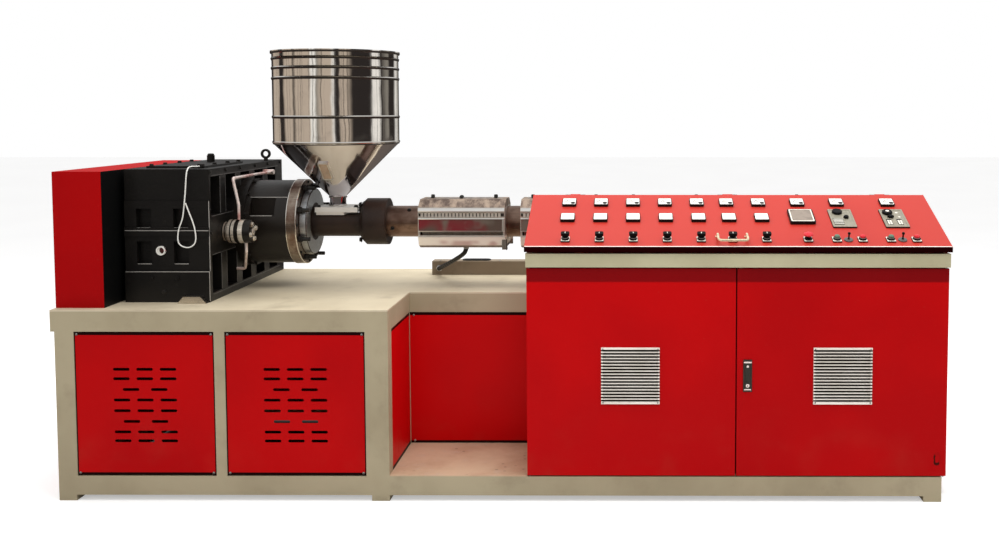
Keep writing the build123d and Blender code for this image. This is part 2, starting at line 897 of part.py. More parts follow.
def sight_glass():
    y0 = gearbox_front - sight_thickness
    ring = rod_y(sight_x, y0, sight_thickness, sight_radius, sight_height)
    return ring - rod_y(sight_x, y0, sight_thickness / 2, sight_radius - sight_rim, sight_height)


def oil_pump():
    z = axis_height - pump_drop
    flange = rod_x(gearbox_right, pump_flange_length, pump_flange_radius, shaft_y, z)
    body = rod_x(gearbox_right + pump_flange_length, pump_length - pump_flange_length, pump_radius,
                 shaft_y, z)
    groove_x = gearbox_right + pump_length * pump_groove_share
    groove = rod_x(groove_x, pump_groove_width, pump_radius + 1, shaft_y, z)
    groove -= rod_x(groove_x, pump_groove_width, pump_radius - pump_groove_depth, shaft_y, z)
    return flange + body - groove


def tube(points, radius, bend):
    path = FilletPolyline(*points, radius=bend)
    return sweep(Plane(origin=path @ 0, z_dir=path % 0) * RegularPolygon(radius, 8), path=path)


def oil_pipes():
    """Two bright pipes from the pump to the gearbox's side, one over the housing and one under it."""
    pump_z = axis_height - pump_drop
    start = gearbox_right + upper_pipe_inset
    top = pump_z + pump_radius
    run = axis_height + housing_flange_radius + upper_pipe_gap
    end_y = shaft_y + upper_pipe_back
    upper = tube([(start, shaft_y, top), (start, shaft_y, top + upper_pipe_rise),
                  (start - upper_pipe_step, shaft_y, run),
                  (start - upper_pipe_step, shaft_y + upper_pipe_rise, run),
                  (gearbox_right + upper_pipe_reach, end_y, run)], pipe_radius, upper_pipe_bend)
    upper += rod_x(gearbox_right, pipe_fitting_length, pipe_fitting_radius, end_y, run)
    start = gearbox_right + lower_pipe_inset
    bottom = pump_z - pump_radius
    end_y = shaft_y + lower_pipe_back
    run = bench_height + lower_pipe_height
    lower = tube([(start, shaft_y, bottom), (start, shaft_y, bottom - lower_pipe_drop),
                  (start - lower_pipe_step, end_y, run), (gearbox_right, end_y, run)],
                 pipe_radius, lower_pipe_bend)
    return upper, lower


# barrel line
def thrust_housing():
    body = rod_x(gearbox_right, housing_length, housing_radius)
    body += rod_x(gearbox_right, housing_flange_length, housing_flange_radius)
    x0 = gearbox_right + housing_window_start
    front = axis_y - housing_radius
    window = block(x0, x0 + housing_window_length, front - 1, front + housing_window_depth,
                   axis_height + housing_window_low, axis_height + housing_window_low + housing_window_height)
    return body - window


def bearing_ring():
    ring = rod_x(housing_end, ring_length, ring_radius)
    edges = ring.edges().filter_by(GeomType.CIRCLE)
    return chamfer(edges, ring_chamfer)


def bolts_on_ring():
    bolts = []
    for index in range(bolt_count):
        angle = math.radians((index + 0.5) * 360 / bolt_count)
        y = axis_y + bolt_circle_radius * math.cos(angle)
        z = axis_height + bolt_circle_radius * math.sin(angle)
        nut = extrude(RegularPolygon(bolt_head_radius, 6), amount=bolt_nut_height)
        stud = extrude(RegularPolygon(bolt_stud_radius, 8), amount=bolt_reach)
        bolts.append(Pos(ring_end, y, z) * Rot(0, 90, 0) * (nut + stud))
    return bolts


def feed_section():
    body = rod_x(ring_end, feed_length, feed_radius)
    body += rod_x(ring_end, feed_flange_length, feed_flange_radius)
    body -= block(plate_left - feed_seat_margin, plate_left + hopper_plate_length + feed_seat_margin,
                  axis_y - feed_radius, axis_y + feed_radius, gate_bottom, axis_height + feed_radius)
    throat = Cylinder(neck_radius - hopper_sheet, feed_seat_height, align=standing)
    return body - Pos(hopper_x, axis_y, axis_height) * throat


def hopper_gate():
    gate = block(plate_left + hopper_gate_inset, plate_left + hopper_gate_inset + hopper_gate_length,
                 axis_y - hopper_gate_width / 2, axis_y + hopper_gate_width / 2, gate_bottom, plate_bottom)
    hole = Pos(hopper_x, axis_y, gate_bottom) * Cylinder(neck_radius - hopper_sheet, hopper_gate_thickness,
                                                         align=standing)
    return gate - hole


def hopper_plate():
    plate = block(plate_left, plate_left + hopper_plate_length,
                  axis_y - hopper_plate_width / 2, axis_y + hopper_plate_width / 2, plate_bottom, neck_bottom)
    hole = Pos(hopper_x, axis_y, plate_bottom) * Cylinder(neck_radius - hopper_sheet, hopper_plate_thickness,
                                                          align=standing)
    return plate - hole


def revolve_profile(points):
    """Turn an outline given as (radius, z) points about the hopper's own upright axis."""
    wire = Polyline(*[(radius, z) for radius, z in points], close=True)
    face = Plane.XZ * make_face(wire)
    return Pos(hopper_x, axis_y, 0) * revolve(face, Axis.Z)


def hopper_cone():
    inner = hopper_radius - hopper_sheet
    neck_inner = neck_radius - hopper_sheet
    outline = [(neck_radius, neck_bottom), (neck_radius, neck_top), (hopper_radius, drum_bottom),
               (inner, drum_bottom), (neck_inner, neck_top), (neck_inner, neck_bottom)]
    return revolve_profile(outline)


def hopper_drum():
    """The sheet drum with its rolled beads and the turned-over rim at its mouth."""
    inner = hopper_radius - hopper_sheet
    outline = [(inner, drum_bottom), (hopper_radius, drum_bottom)]
    for height in sorted(bead_heights):
        outline.append((hopper_radius, height - bead_radius))
        outline.append((hopper_radius + bead_radius, height))
        outline.append((hopper_radius, height + bead_radius))
    outline.append((hopper_radius, drum_top - 2 * rim_radius))
    outline.append((hopper_radius + rim_radius, drum_top - rim_radius))
    outline.append((hopper_radius + rim_radius, drum_top))
    outline.append((inner, drum_top))
    return revolve_profile(outline)


def hopper_window():
    wall_angle = math.degrees(math.atan2(drum_bottom - neck_top, hopper_radius - neck_radius))
    share = (window_middle - neck_top) / (drum_bottom - neck_top)
    radius = neck_radius + share * (hopper_radius - neck_radius)
    seat = Pos(hopper_x, axis_y, 0) * Rot(0, 0, -window_turn) * Pos(0, -radius, window_middle)
    return seat * Rot(-wall_angle, 0, 0) * Pos(0, 0, -window_thickness) * Box(
        window_width, window_length, window_thickness, align=standing)


def barrel_coupling():
    body = rod_x(feed_end, coupling_length, coupling_radius)
    edges = body.edges().filter_by(GeomType.CIRCLE)
    return chamfer(edges.sort_by(Axis.X)[0], coupling_chamfer)


def barrel():
    body = rod_x(coupling_end, barrel_end - coupling_end, barrel_radius)
    return body - rod_x(coupling_end, barrel_end - coupling_end, barrel_bore_radius)


def die_flange():
    body = rod_x(barrel_end, die_flange_length, die_flange_radius)
    body -= rod_x(barrel_end, die_flange_length, barrel_bore_radius)
    for index in range(die_bolt_count):
        angle = math.radians(index * 360 / die_bolt_count)
        body -= rod_x(barrel_end, die_flange_length, die_bolt_radius,
                      axis_y + die_bolt_circle / 2 * math.cos(angle),
                      axis_height + die_bolt_circle / 2 * math.sin(angle))
    return body


def heater_outline(inset):
    half = heater_half_width - inset
    tray = [(half, heater_tray_bottom + heater_tray_round),
            (half - heater_tray_round * heater_round_share,
             heater_tray_bottom + inset + heater_tray_round * heater_round_share),
            (half - heater_tray_round, heater_tray_bottom + inset)]
    shoulder = heater_shoulder - inset * heater_shoulder_share
    right = [(heater_top_half, heater_top - inset), (half, shoulder)] + tray
    left = [(-y, z) for y, z in reversed(right)]
    return [(axis_y + y, axis_height + z) for y, z in right + left]


def heater_bore(x0, length):
    """The many-sided passage round the barrel, its flats clear of the barrel by the seat gap."""
    reach = (barrel_radius + seat_gap) / math.cos(math.pi / heater_bore_sides)
    passage = extrude(RegularPolygon(reach, heater_bore_sides), amount=length)
    return Pos(x0, axis_y, axis_height) * Rot(0, 90, 0) * passage


def heater(index):
    """A heater zone: a band heater on the barrel inside its folded stainless casing."""
    x0 = heater_first + index * heater_pitch
    casing = prism_x(heater_outline(0), x0, heater_length)
    casing -= prism_x(heater_outline(heater_sheet), x0 + heater_sheet, heater_length - 2 * heater_sheet)
    casing -= heater_bore(x0, heater_length)
    casing -= block(x0 + heater_slit_inset, x0 + heater_length - heater_slit_inset,
                    axis_y - heater_half_width - 1, axis_y + heater_half_width + 1,
                    axis_height + heater_tray_top, axis_height + heater_band_bottom)
    core_length = heater_length - 2 * heater_core_inset
    core = extrude(RegularPolygon(heater_core_radius, heater_core_sides), amount=core_length)
    core = Pos(x0 + heater_core_inset, axis_y, axis_height) * Rot(0, 90, 0) * core
    core -= heater_bore(x0 + heater_core_inset, core_length)
    return casing, core


def heater_bolts():
    bolts = []
    for index in range(heater_count):
        for station in heater_bolt_stations:
            x = heater_first + index * heater_pitch + station
            head = extrude(RegularPolygon(heater_bolt_radius, 6), amount=heater_bolt_height)
            bolts.append(Pos(x, axis_y, axis_height + heater_top) * head)
    return bolts


def barrel_stand():
    """The upright that carries the far end of the barrel above the bench."""
    saddle = barrel_radius + seat_gap
    plate = block(stand_x, stand_x + stand_thickness, axis_y - stand_width, axis_y + stand_width,
                  bench_height, axis_height)
    return plate - rod_x(stand_x, stand_thickness, saddle)


def cable_trunk():
    return block(trunk_left, trunk_right, trunk_front, trunk_front + trunk_depth, bench_height,
                 bench_height + trunk_height)


def conduits():
    runs = []
    z = axis_height + heater_tray_bottom
    trunk_z = bench_height + trunk_height / 2
    for index in range(heater_count):
        x = heater_first + index * heater_pitch + conduit_inset
        end_x = x - conduit_drop
        runs.append(mitred([(x, axis_y, z), (x, axis_y, z - conduit_straight),
                            (end_x, trunk_front - conduit_lead, trunk_z), (end_x, trunk_front, trunk_z)],
                           conduit_radius, conduit_sides))
    return runs


save("bottom_rails", *bottom_rails())
save("bottom_cross_rails", *bottom_cross_rails())
save("frame_posts", *frame_posts())
save("top_rails", *top_rails())
save("top_cross_rails", *top_cross_rails())
save("bench_plate", bench_plate())
save("machine_feet", *machine_feet())
save("louvre_panel_left", louvre_panel(base_left + left_post_width, middle_post_left))
save("louvre_panel_right", louvre_panel(middle_post_left + middle_post_width,
                                        recess_start - corner_post_width))
save("end_panels", inset_panel_y(base_left + panel_inset, rail_width, base_depth - rail_width),
     inset_panel_y(base_right - panel_inset - panel_sheet, recess_depth + rail_width,
                   base_depth - rail_width))
save("recess_panels", inset_panel_y(recess_start - panel_inset - panel_sheet, rail_width, recess_depth),
     inset_panel_x(recess_start, base_right - rail_width, recess_depth + panel_inset))
save("floor_plates", recess_floor(), cabinet_floor())
save("rear_panels", *rear_panels())

save("cabinet_sides", cabinet_side(cabinet_left), cabinet_side(cabinet_right - cabinet_sheet))
save("cabinet_back", cabinet_back())
save("cabinet_mullion", cabinet_mullion())
save("console_band", console_band())
save("cabinet_door_left", door(cabinet_left, door_split - moving_gap / 2, left_pivot_x))
save("cabinet_door_right", door(door_split + moving_gap / 2, cabinet_right, right_pivot_x))
save("grille_left", grille(cabinet_left + grille_inset_left))
save("grille_right", grille(door_split + grille_inset_right))
save("door_lock", door_lock())
save("hinge_pins", *door_pivots(), *lid_hinges())
save("console_lid", console_lid())
save("lid_handle", lid_handle())
save("temperature_meters", *meters())
save("temperature_controllers", *controllers())
save("selector_switches", *selector_switches())
save("display_and_keypads", display_unit(), *keypad_units())
save("push_buttons", *push_buttons())

save("belt_guard", belt_guard())
save("gearbox_lower", gearbox_lower())
save("gearbox_upper", gearbox_upper())
save("gearbox_cover", gearbox_cover())
save("hanging_wire", hanging_wire())
save("lifting_eye", lifting_eye())
save("gearbox_foot_clamp", foot_clamps())
save("sight_glass", sight_glass())
save("oil_pump", oil_pump())
save("oil_pipes", *oil_pipes())
save("thrust_housing", thrust_housing())
save("bearing_ring", bearing_ring())
save("feed_section", feed_section())
save("barrel_coupling", barrel_coupling())
save("barrel", barrel())
save("die_flange", die_flange())
for number in range(heater_count):
    save(f"heater_{number + 1}", *heater(number))
save("clamp_bolts", *bolts_on_ring(), *heater_bolts())
save("barrel_stand", barrel_stand())
save("hopper_gate", hopper_gate())
save("hopper_plate", hopper_plate())
save("hopper_cone", hopper_cone())
save("hopper_drum", hopper_drum())
save("hopper_window", hopper_window())
save("cable_trunk", cable_trunk())
save("conduits", *conduits())
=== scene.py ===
import math

import bmesh
import bpy
import numpy as np
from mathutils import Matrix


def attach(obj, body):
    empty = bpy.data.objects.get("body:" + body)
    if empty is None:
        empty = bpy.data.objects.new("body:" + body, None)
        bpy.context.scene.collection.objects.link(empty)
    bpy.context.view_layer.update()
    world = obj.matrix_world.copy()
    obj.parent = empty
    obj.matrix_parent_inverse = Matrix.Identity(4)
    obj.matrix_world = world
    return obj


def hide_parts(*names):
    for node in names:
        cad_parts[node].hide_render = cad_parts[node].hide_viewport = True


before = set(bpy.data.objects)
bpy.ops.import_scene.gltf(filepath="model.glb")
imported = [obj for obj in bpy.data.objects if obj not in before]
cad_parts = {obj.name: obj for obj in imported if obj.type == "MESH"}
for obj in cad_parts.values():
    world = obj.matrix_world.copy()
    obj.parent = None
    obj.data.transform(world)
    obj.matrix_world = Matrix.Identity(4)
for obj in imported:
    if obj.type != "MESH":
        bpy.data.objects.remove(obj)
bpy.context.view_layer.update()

# Sizes below are in the maker's millimetres: x from the bench's left end, y from the base's
# front, z from the floor. toModel() turns them into the model's metres.
originShift = np.array([1683.5, 520.0, 0.0])


def toModel(points):
    return (np.asarray(points, float) - originShift) / 1000


# the photo is a nearly level view from the right of the middle
view = {"place": (0.4866, -4.4577, 1.467), "pitch": 3.5, "turn": 0.291, "lens": 38.3975,
        "shift": (-0.1246, -0.0996)}

cameraData = bpy.data.cameras.new("photoCamera")
cameraData.lens = view["lens"]
cameraData.sensor_width = 36.0
cameraData.shift_x, cameraData.shift_y = view["shift"]
camera = bpy.data.objects.new("photoCamera", cameraData)
camera.location = view["place"]
camera.rotation_euler = (math.radians(90 - view["pitch"]), 0, math.radians(view["turn"]))
bpy.context.scene.collection.objects.link(camera)
bpy.context.scene.camera = camera
bpy.context.scene.view_settings.view_transform = "Standard"
print("camera set")


# surface helpers: every one gives grids of points, rings by points round each ring
def capped(rings):
    # closes a stack of rings with a ring gathered on its own middle at each end
    low = np.broadcast_to(rings[:1].mean(1, keepdims=True), rings[:1].shape)
    high = np.broadcast_to(rings[-1:].mean(1, keepdims=True), rings[-1:].shape)
    return np.concatenate([low, rings, high])


def pad(width, depth, corner, levels, steps=3):
    # rounded rectangles stacked up z: corner centre + r (cos t, sin t), drawn in by each level's inset;
    # levels are rows of (height, inset)
    height, inset = np.array(levels, float).T[:, :, None]
    angle = (np.arange(4)[:, None] * math.pi / 2 + np.linspace(0, math.pi / 2, steps + 1)).ravel()
    signX = np.repeat([1, -1, -1, 1], steps + 1)
    signY = np.repeat([1, 1, -1, -1], steps + 1)
    radius = np.maximum(corner - inset, 0.02)
    x = signX * (width / 2 - inset - radius) + radius * np.cos(angle)
    y = signY * (depth / 2 - inset - radius) + radius * np.sin(angle)
    return capped(np.stack([x, y, height + 0 * x], -1))


def frameRing(width, depth, corner, rim, low, high):
    # a picture-frame band: the outer outline up from low to high, over the rim and back down inside
    levels = [(low, 0), (high - 0.6, 0), (high, 0.6), (high, rim), (low, rim)]
    ring = pad(width, depth, corner, levels)[1:-1]
    return np.concatenate([ring, ring[:1]])


def turned(profile, sides=32, start=0.0):
    # a profile of (radius, height) carried round the upright axis: (r cos a, r sin a, h)
    radius, height = np.array(profile, float).T[:, :, None]
    angle = start + np.arange(sides) * 2 * math.pi / sides
    return np.stack([radius * np.cos(angle), radius * np.sin(angle), height + 0 * angle], -1)


def hexHead(size, height, start=0.0):
    # a bolt head: a six-sided outline of that radius, bevelled at its top, on a round washer
    washer = turned([(0, 0), (size * 1.25, 0), (size * 1.25, height * 0.18), (0, height * 0.18)], 16)
    head = turned([(0, 0), (size, 0), (size, height * 0.88), (size * 0.86, height), (0, height)], 6, start)
    return [washer, head]


def bentSheet(outline, low, high):
    # an outline of (across, up) carried straight along from low to high
    outline = np.array(outline, float)
    along = np.array([low, high], float)[:, None]
    across = outline[None, :, 0] + 0 * along
    up = outline[None, :, 1] + 0 * along
    return capped(np.stack([along + 0 * across, across, up], -1))


def smoothPath(points, steps=8):
    # a smooth line through every point: its four neighbours weighted by cubic shares of the way along a run
    p = np.array(points, float)
    p = np.concatenate([2 * p[:1] - p[1:2], p, 2 * p[-1:] - p[-2:-1]])
    t = np.linspace(0, 1, steps, endpoint=False)[None, :, None]
    a, b, c, d = (p[i:len(p) - 3 + i, None, :] for i in range(4))
    run = 0.5 * (2 * b + (c - a) * t + (2 * a - 5 * b + 4 * c - d) * t ** 2
                 + (3 * b - a - 3 * c + d) * t ** 3)
    return np.concatenate([run.reshape(-1, 3), p[-2:-1]])


def tube(path, radius, sides=12, aside=(0.0, 1.0, 0.0)):
    # rings square to the path: centre + r (n cos a + b sin a), with n and b from the tangent and one
    # fixed direction
    path = np.array(path, float)
    radius = np.broadcast_to(np.asarray(radius, float), len(path))[:, None, None]
    tangent = np.gradient(path, axis=0)
    tangent /= np.linalg.norm(tangent, axis=1, keepdims=True)
    b = np.cross(tangent, np.array(aside))
    b /= np.linalg.norm(b, axis=1, keepdims=True)
    n = np.cross(b, tangent)
    angle = (np.arange(sides) * 2 * math.pi / sides)[None, :, None]
    return capped(path[:, None] + radius * (n[:, None] * np.cos(angle) + b[:, None] * np.sin(angle)))


def box(x0, x1, y0, y1, z0, z1, bevel=1.0):
    # a block with its upright edges rounded and its rims eased: rounded rectangles stacked from z0 to z1
    levels = [(z0, bevel * 0.4), (z0 + bevel * 0.4, 0), (z1 - bevel, 0), (z1, bevel)]
    grid = pad(x1 - x0, y1 - y0, bevel, levels, 2)
    return grid + np.array([(x0 + x1) / 2, (y0 + y1) / 2, 0])


def copies(grid, offsets):
    # the same grid once at each offset
    return np.asarray(grid)[None] + np.array(offsets, float)[:, None, None, :]


def alongX(grid):
    return np.stack([grid[..., 2], grid[..., 0], grid[..., 1]], -1)  # up becomes +x


def facingFront(grid):
    return np.stack([grid[..., 0], -grid[..., 2], grid[..., 1]], -1)  # up becomes -y


def facingBack(grid):
    return np.stack([-grid[..., 0], grid[..., 2], grid[..., 1]], -1)  # up becomes +y


lidPlane = {"front": (-15.0, 968.0), "back": (400.0, 1130.0)}
lidAngle = math.atan2(lidPlane["back"][1] - lidPlane["front"][1], lidPlane["back"][0] - lidPlane["front"][0])


def onLid(grid):
    # (x, up the slope, out of the sheet) turned by the lid's angle from its front edge
    c, s = math.cos(lidAngle), math.sin(lidAngle)
    y = grid[..., 1] * c - grid[..., 2] * s + lidPlane["front"][0]
    z = grid[..., 1] * s + grid[..., 2] * c + lidPlane["front"][1]
    return np.stack([grid[..., 0], y, z], -1)


def piece(name, grids, body, material, sharp=32):
    # every grid of (..., u, v, 3) becomes quads between neighbouring rings, closed round v, and its doubles
    # are merged
    places, quads, count = [], [], 0
    for grid in grids:
        stack = np.asarray(grid, float).reshape(-1, *np.shape(grid)[-3:])
        k, u, v, _ = stack.shape
        index = count + np.arange(k * u * v).reshape(k, u, v)
        after = np.roll(index, -1, axis=2)
        quads.append(np.stack([index[:, :-1], after[:, :-1], after[:, 1:], index[:, 1:]], -1).reshape(-1, 4))
        places.append(stack.reshape(-1, 3))
        count += k * u * v
    mesh = bpy.data.meshes.new(name)
    mesh.from_pydata(toModel(np.concatenate(places)).tolist(), [], np.concatenate(quads).tolist())
    work = bmesh.new()
    work.from_mesh(mesh)
    bmesh.ops.remove_doubles(work, verts=work.verts, dist=2e-6)
    bmesh.ops.dissolve_degenerate(work, edges=work.edges, dist=2e-6)
    bmesh.ops.recalc_face_normals(work, faces=work.faces)
    work.to_mesh(mesh)
    work.free()
    mesh.shade_smooth()
    mesh.set_sharp_from_angle(angle=math.radians(sharp))
    made = bpy.data.objects.new(name, mesh)
    bpy.context.scene.collection.objects.link(made)
    mesh.materials.append(material)
    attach(made, body)
    return made


class Value:
    # a shader socket that plain arithmetic can be written with
    def __init__(self, paint, socket):
        self.paint = paint
        self.socket = socket

    def work(self, operation, *others):
        return self.paint.node("ShaderNodeMath", {"operation": operation}, dict(enumerate(others)))

    def __add__(self, other):
        return self.work("ADD", self, other)

    def __radd__(self, other):
        return self.work("ADD", other, self)

    def __sub__(self, other):
        return self.work("SUBTRACT", self, other)

    def __mul__(self, other):
        return self.work("MULTIPLY", self, other)

    def __rmul__(self, other):
        return self.work("MULTIPLY", other, self)

    def __truediv__(self, other):
        return self.work("DIVIDE", self, other)

    def __pow__(self, other):
        return self.work("POWER", self, other)


class Paint:
    # one material under construction
    def __init__(self, name, **uniform):
        self.material = bpy.data.materials.new(name)
        self.material.use_nodes = True
        self.tree = self.material.node_tree
        self.shader = self.tree.nodes["Principled BSDF"]
        self.place = None
        for key, value in uniform.items():
            self.shader.inputs[key.replace("_", " ")].default_value = value

    def node(self, kind, settings=None, inputs=None, output=0):
        made = self.tree.nodes.new(kind)
        for key, value in (settings or {}).items():
            if key == "stops":
                self.fillRamp(made.color_ramp, value)
            else:
                setattr(made, key, value)
        for key, value in (inputs or {}).items():
            self.join(value, made.inputs[key])
        return Value(self, made.outputs[output])

    def fillRamp(self, ramp, stops):
        while len(ramp.elements) < len(stops):
            ramp.elements.new(0.5)
        for element, (position, colour) in zip(ramp.elements, stops):
            element.position = position
            element.color = (*colour, 1) if len(colour) == 3 else colour

    def join(self, value, socket):
        if isinstance(value, Value):
            self.tree.links.new(value.socket, socket)
        elif hasattr(value, "__len__") and len(value) == 3 and socket.type == "RGBA":
            socket.default_value = (*value, 1)
        else:
            socket.default_value = value

    def feed(self, **sockets):
        for key, value in sockets.items():
            self.join(value, self.shader.inputs[key.replace("_", " ")])

    def where(self):
        if self.place is None:
            self.place = self.node("ShaderNodeTexCoord", output=3)
        return self.place

    def axis(self, which):
        return self.node("ShaderNodeSeparateXYZ", None, {0: self.where()}, output="xyz".index(which))

    def facing(self, which):
        normal = self.node("ShaderNodeNewGeometry", output=1)
        return self.node("ShaderNodeSeparateXYZ", None, {0: normal}, output="xyz".index(which))

    def stretched(self, scale):
        return self.node("ShaderNodeMapping", None, {"Vector": self.where(), "Scale": scale})

    def noise(self, scale, detail=4.0, rough=0.55, stretch=None):
        vector = self.where() if stretch is None else self.stretched(stretch)
        return self.node("ShaderNodeTexNoise", None, {"Vector": vector, "Scale": scale, "Detail": detail,
                                                      "Roughness": rough})

    def cells(self, scale):
        return self.node("ShaderNodeTexVoronoi", None, {"Vector": self.where(), "Scale": scale})

    def between(self, value, low, high, first=0.0, last=1.0):
        # first below low, last above high, an eased step between them
        ends = {"From Min": low, "From Max": high, "To Min": first, "To Max": last}
        return self.node("ShaderNodeMapRange", {"interpolation_type": "SMOOTHSTEP"}, {"Value": value, **ends})

    def size(self, value):
        return self.node("ShaderNodeMath", {"operation": "ABSOLUTE"}, {0: value})

    def larger(self, first, second):
        return self.node("ShaderNodeMath", {"operation": "MAXIMUM"}, {0: first, 1: second})

    def fraction(self, value):
        return self.node("ShaderNodeMath", {"operation": "FRACT"}, {0: value})

    def mix(self, share, first, second):
        return self.node("ShaderNodeMix", {"data_type": "RGBA"}, {0: share, 6: first, 7: second}, output=2)

    def bump(self, height, strength=0.2, distance=0.001, under=None):
        inputs = {"Strength": strength, "Distance": distance, "Height": height}
        if under is not None:
            inputs["Normal"] = under
        return self.node("ShaderNodeBump", None, inputs)


redLook = {"colour": (0.52, 0.0018, 0.003), "deep": (0.45, 0.0014, 0.003), "dust": (0.36, 0.08, 0.05),
           "roughness": 0.30, "gloss": 0.07, "dusty": (0.08, 0.42), "rimX": (0.0034, 0.0028),
           "rimZ": (0.0024, 0.0019)}
lidLook = {"colour": (0.42, 0.030, 0.020), "deep": (0.385, 0.024, 0.017), "lip": (0.055, 0.004, 0.006),
           "gloss": 0.36}
beigeLook = {"colour": (0.43, 0.37, 0.245), "deep": (0.35, 0.295, 0.19), "grime": (0.16, 0.12, 0.08),
             "roughness": 0.42, "jointFront": (-0.5172, -0.5164), "jointBack": (-0.49, -0.48),
             "seamShade": (0.009, 0.011)}


def redPaint(name, chip=None, darkSide=False, dusty=0.12, depth=1.0, coverShadowFrom=None, panels=None):
    # sprayed gloss red: slow tone changes, fine orange peel, settled dust low down, painted shade along the
    # panels' rims, a painted shadow where a cover shelters the top, and lit and shaded copies of the red made
    # by depth (painted light)
    paint = Paint(name, Roughness=redLook["roughness"], IOR=1.45, Specular_IOR_Level=redLook["gloss"])
    slow = paint.noise(1.6, 3, 0.5)
    # depth scales both tones: lighter and darker copies of one red for lit and shaded parts, painted light
    tones = [tuple(c * depth for c in redLook[key]) for key in ("colour", "deep")]
    colour = paint.mix(paint.between(slow, 0.38, 0.66), *tones)
    settled = paint.between(paint.noise(7, 5, 0.6), 0.45, 0.8)
    low = paint.between(paint.axis("z"), *redLook["dusty"], 1.0, 0.0) * settled
    colour = paint.mix(low * dusty, colour, redLook["dust"])
    specks = paint.between(paint.noise(160, 2, 0.5), 0.70, 0.78)
    colour = paint.mix(specks * 0.35, colour, redLook["dust"])
    if darkSide:
        colour = paint.mix(paint.between(paint.facing("x"), 0.6, 0.8), colour, (0.004, 0.004, 0.004))
    if coverShadowFrom:
        # painted shadow of the cover over the door tops
        coverShadowMask = paint.between(paint.axis("z"), coverShadowFrom - 0.004, coverShadowFrom + 0.004)
        colour = paint.mix(coverShadowMask * 0.58, colour, (0.010, 0.002, 0.004))
    if panels:
        # painted shade along the panels' rims
        colour = paint.mix(rimShadeOf(paint, panels), colour, (0.012, 0.002, 0.002))
    if chip:
        colour = chipMark(paint, colour, chip)
    rough = redLook["roughness"] + 0.12 * paint.noise(9, 4, 0.6) + low * 0.25
    peel = paint.bump(paint.noise(260, 2, 0.5), 0.06, 0.0006)
    paint.feed(Base_Color=colour, Roughness=rough, Normal=peel)
    return paint.material


def rimShadeOf(paint, panels):
    # the mask of the painted shade along the panels' rims: 1 within a few millimetres of the panels' edges:
    # ||x - middle| - aside| against half the width, and |z - height| against half the height
    across = paint.size(paint.size(paint.axis("x") - panels["middle"]) - panels["aside"])
    up = paint.size(paint.axis("z") - panels["height"])
    sides = paint.between(across, *(panels["halfX"] - inset for inset in redLook["rimX"]))
    ends = paint.between(up, *(panels["halfZ"] - inset for inset in redLook["rimZ"]))
    return paint.larger(sides, ends)


def lidPaint(name):
    # the same red lying up to the roof lights, given a paler copy of its colour as painted light; its
    # folded lips facing the front are painted dark and made metallic as painted shade
    paint = Paint(name, IOR=1.45, Specular_IOR_Level=lidLook["gloss"])
    slow = paint.between(paint.noise(1.4, 3, 0.5), 0.38, 0.66)
    colour = paint.mix(slow, lidLook["colour"], lidLook["deep"])
    colour = paint.mix(paint.between(paint.noise(150, 2, 0.5), 0.70, 0.78) * 0.3, colour, redLook["dust"])
    # painted shade on the lips that face the front
    lip = paint.between(paint.facing("y"), -0.9, -0.6, 1.0, 0.0)
    colour = paint.mix(lip, colour, lidLook["lip"])
    paint.feed(Base_Color=colour, Metallic=lip, Roughness=0.26 + 0.12 * paint.noise(9, 4, 0.6),
               Normal=paint.bump(paint.noise(260, 2, 0.5), 0.05, 0.0006))
    return paint.material


def chipMark(paint, colour, chip):
    # a curved scuff: bare dark metal where a wobbling ring round the spot is near its radius
    x, z = paint.axis("x"), paint.axis("z")
    across, up = x - chip["x"], (z - chip["z"]) * 0.55
    reach = (across * across + up * up) ** 0.5 + (paint.noise(55, 3, 0.6) - 0.5) * 0.010
    ring = paint.between(reach, chip["radius"], chip["radius"] + 0.003) * paint.between(
        reach, chip["radius"] + 0.005, chip["radius"] + 0.009, 1.0, 0.0)
    part = paint.between(across + up, -0.004, 0.003, 1.0, 0.15)
    return paint.mix(ring * part, colour, (0.03, 0.006, 0.004))


def beigePaint(name, grime=0.35, worn=0.0, joints=False, paintedLight=(1.0, 1.0, 1.0), seam=None):
    # satin beige: hand-sprayed unevenness, grime in soft blotches, a few rubbed places, painted shade in the
    # panel joints and in a line behind the doors' seam, and lighter and darker copies of the beige for lit
    # and shaded parts (painted light)
    paint = Paint(name, IOR=1.45, Specular_IOR_Level=0.4)
    slow = paint.noise(2.2, 4, 0.55)
    # scaled copies of the beige: lighter and darker for lit and shaded parts, painted light
    litTones = [tuple(c * t for c, t in zip(beigeLook[key], paintedLight)) for key in ("colour", "deep")]
    colour = paint.mix(paint.between(slow, 0.35, 0.7), *litTones)
    blotch = paint.between(paint.noise(6, 6, 0.62), 0.52, 0.78) * grime
    colour = paint.mix(blotch, colour, beigeLook["grime"])
    streak = paint.between(paint.noise(9, 4, 0.6, (1.0, 6.0, 1.0)), 0.60, 0.75) * worn
    colour = paint.mix(streak, colour, (0.55, 0.50, 0.40))
    if joints:
        depth = paint.axis("y")
        behind = paint.between(depth, *beigeLook["jointFront"]) * paint.between(
            depth, *beigeLook["jointBack"], 1, 0)
        front = paint.between(paint.facing("y"), -0.9, -0.7, 1, 0)
        # painted shade in the joints behind the panel fronts
        colour = paint.mix(behind * front, colour, (0.012, 0.006, 0.004))
    if seam:
        front = paint.between(paint.facing("y"), -0.9, -0.7, 1, 0)
        # a painted shade line down the mullion behind the doors' seam
        seamShade = paint.between(paint.size(paint.axis("x") - seam), *beigeLook["seamShade"], 1, 0) * front
        colour = paint.mix(seamShade, colour, (0.012, 0.003, 0.003))
    rough = beigeLook["roughness"] + 0.16 * paint.noise(12, 4, 0.6)
    paint.feed(Base_Color=colour, Roughness=rough, Normal=paint.bump(paint.noise(180, 3, 0.5), 0.10, 0.0008))
    return paint.material


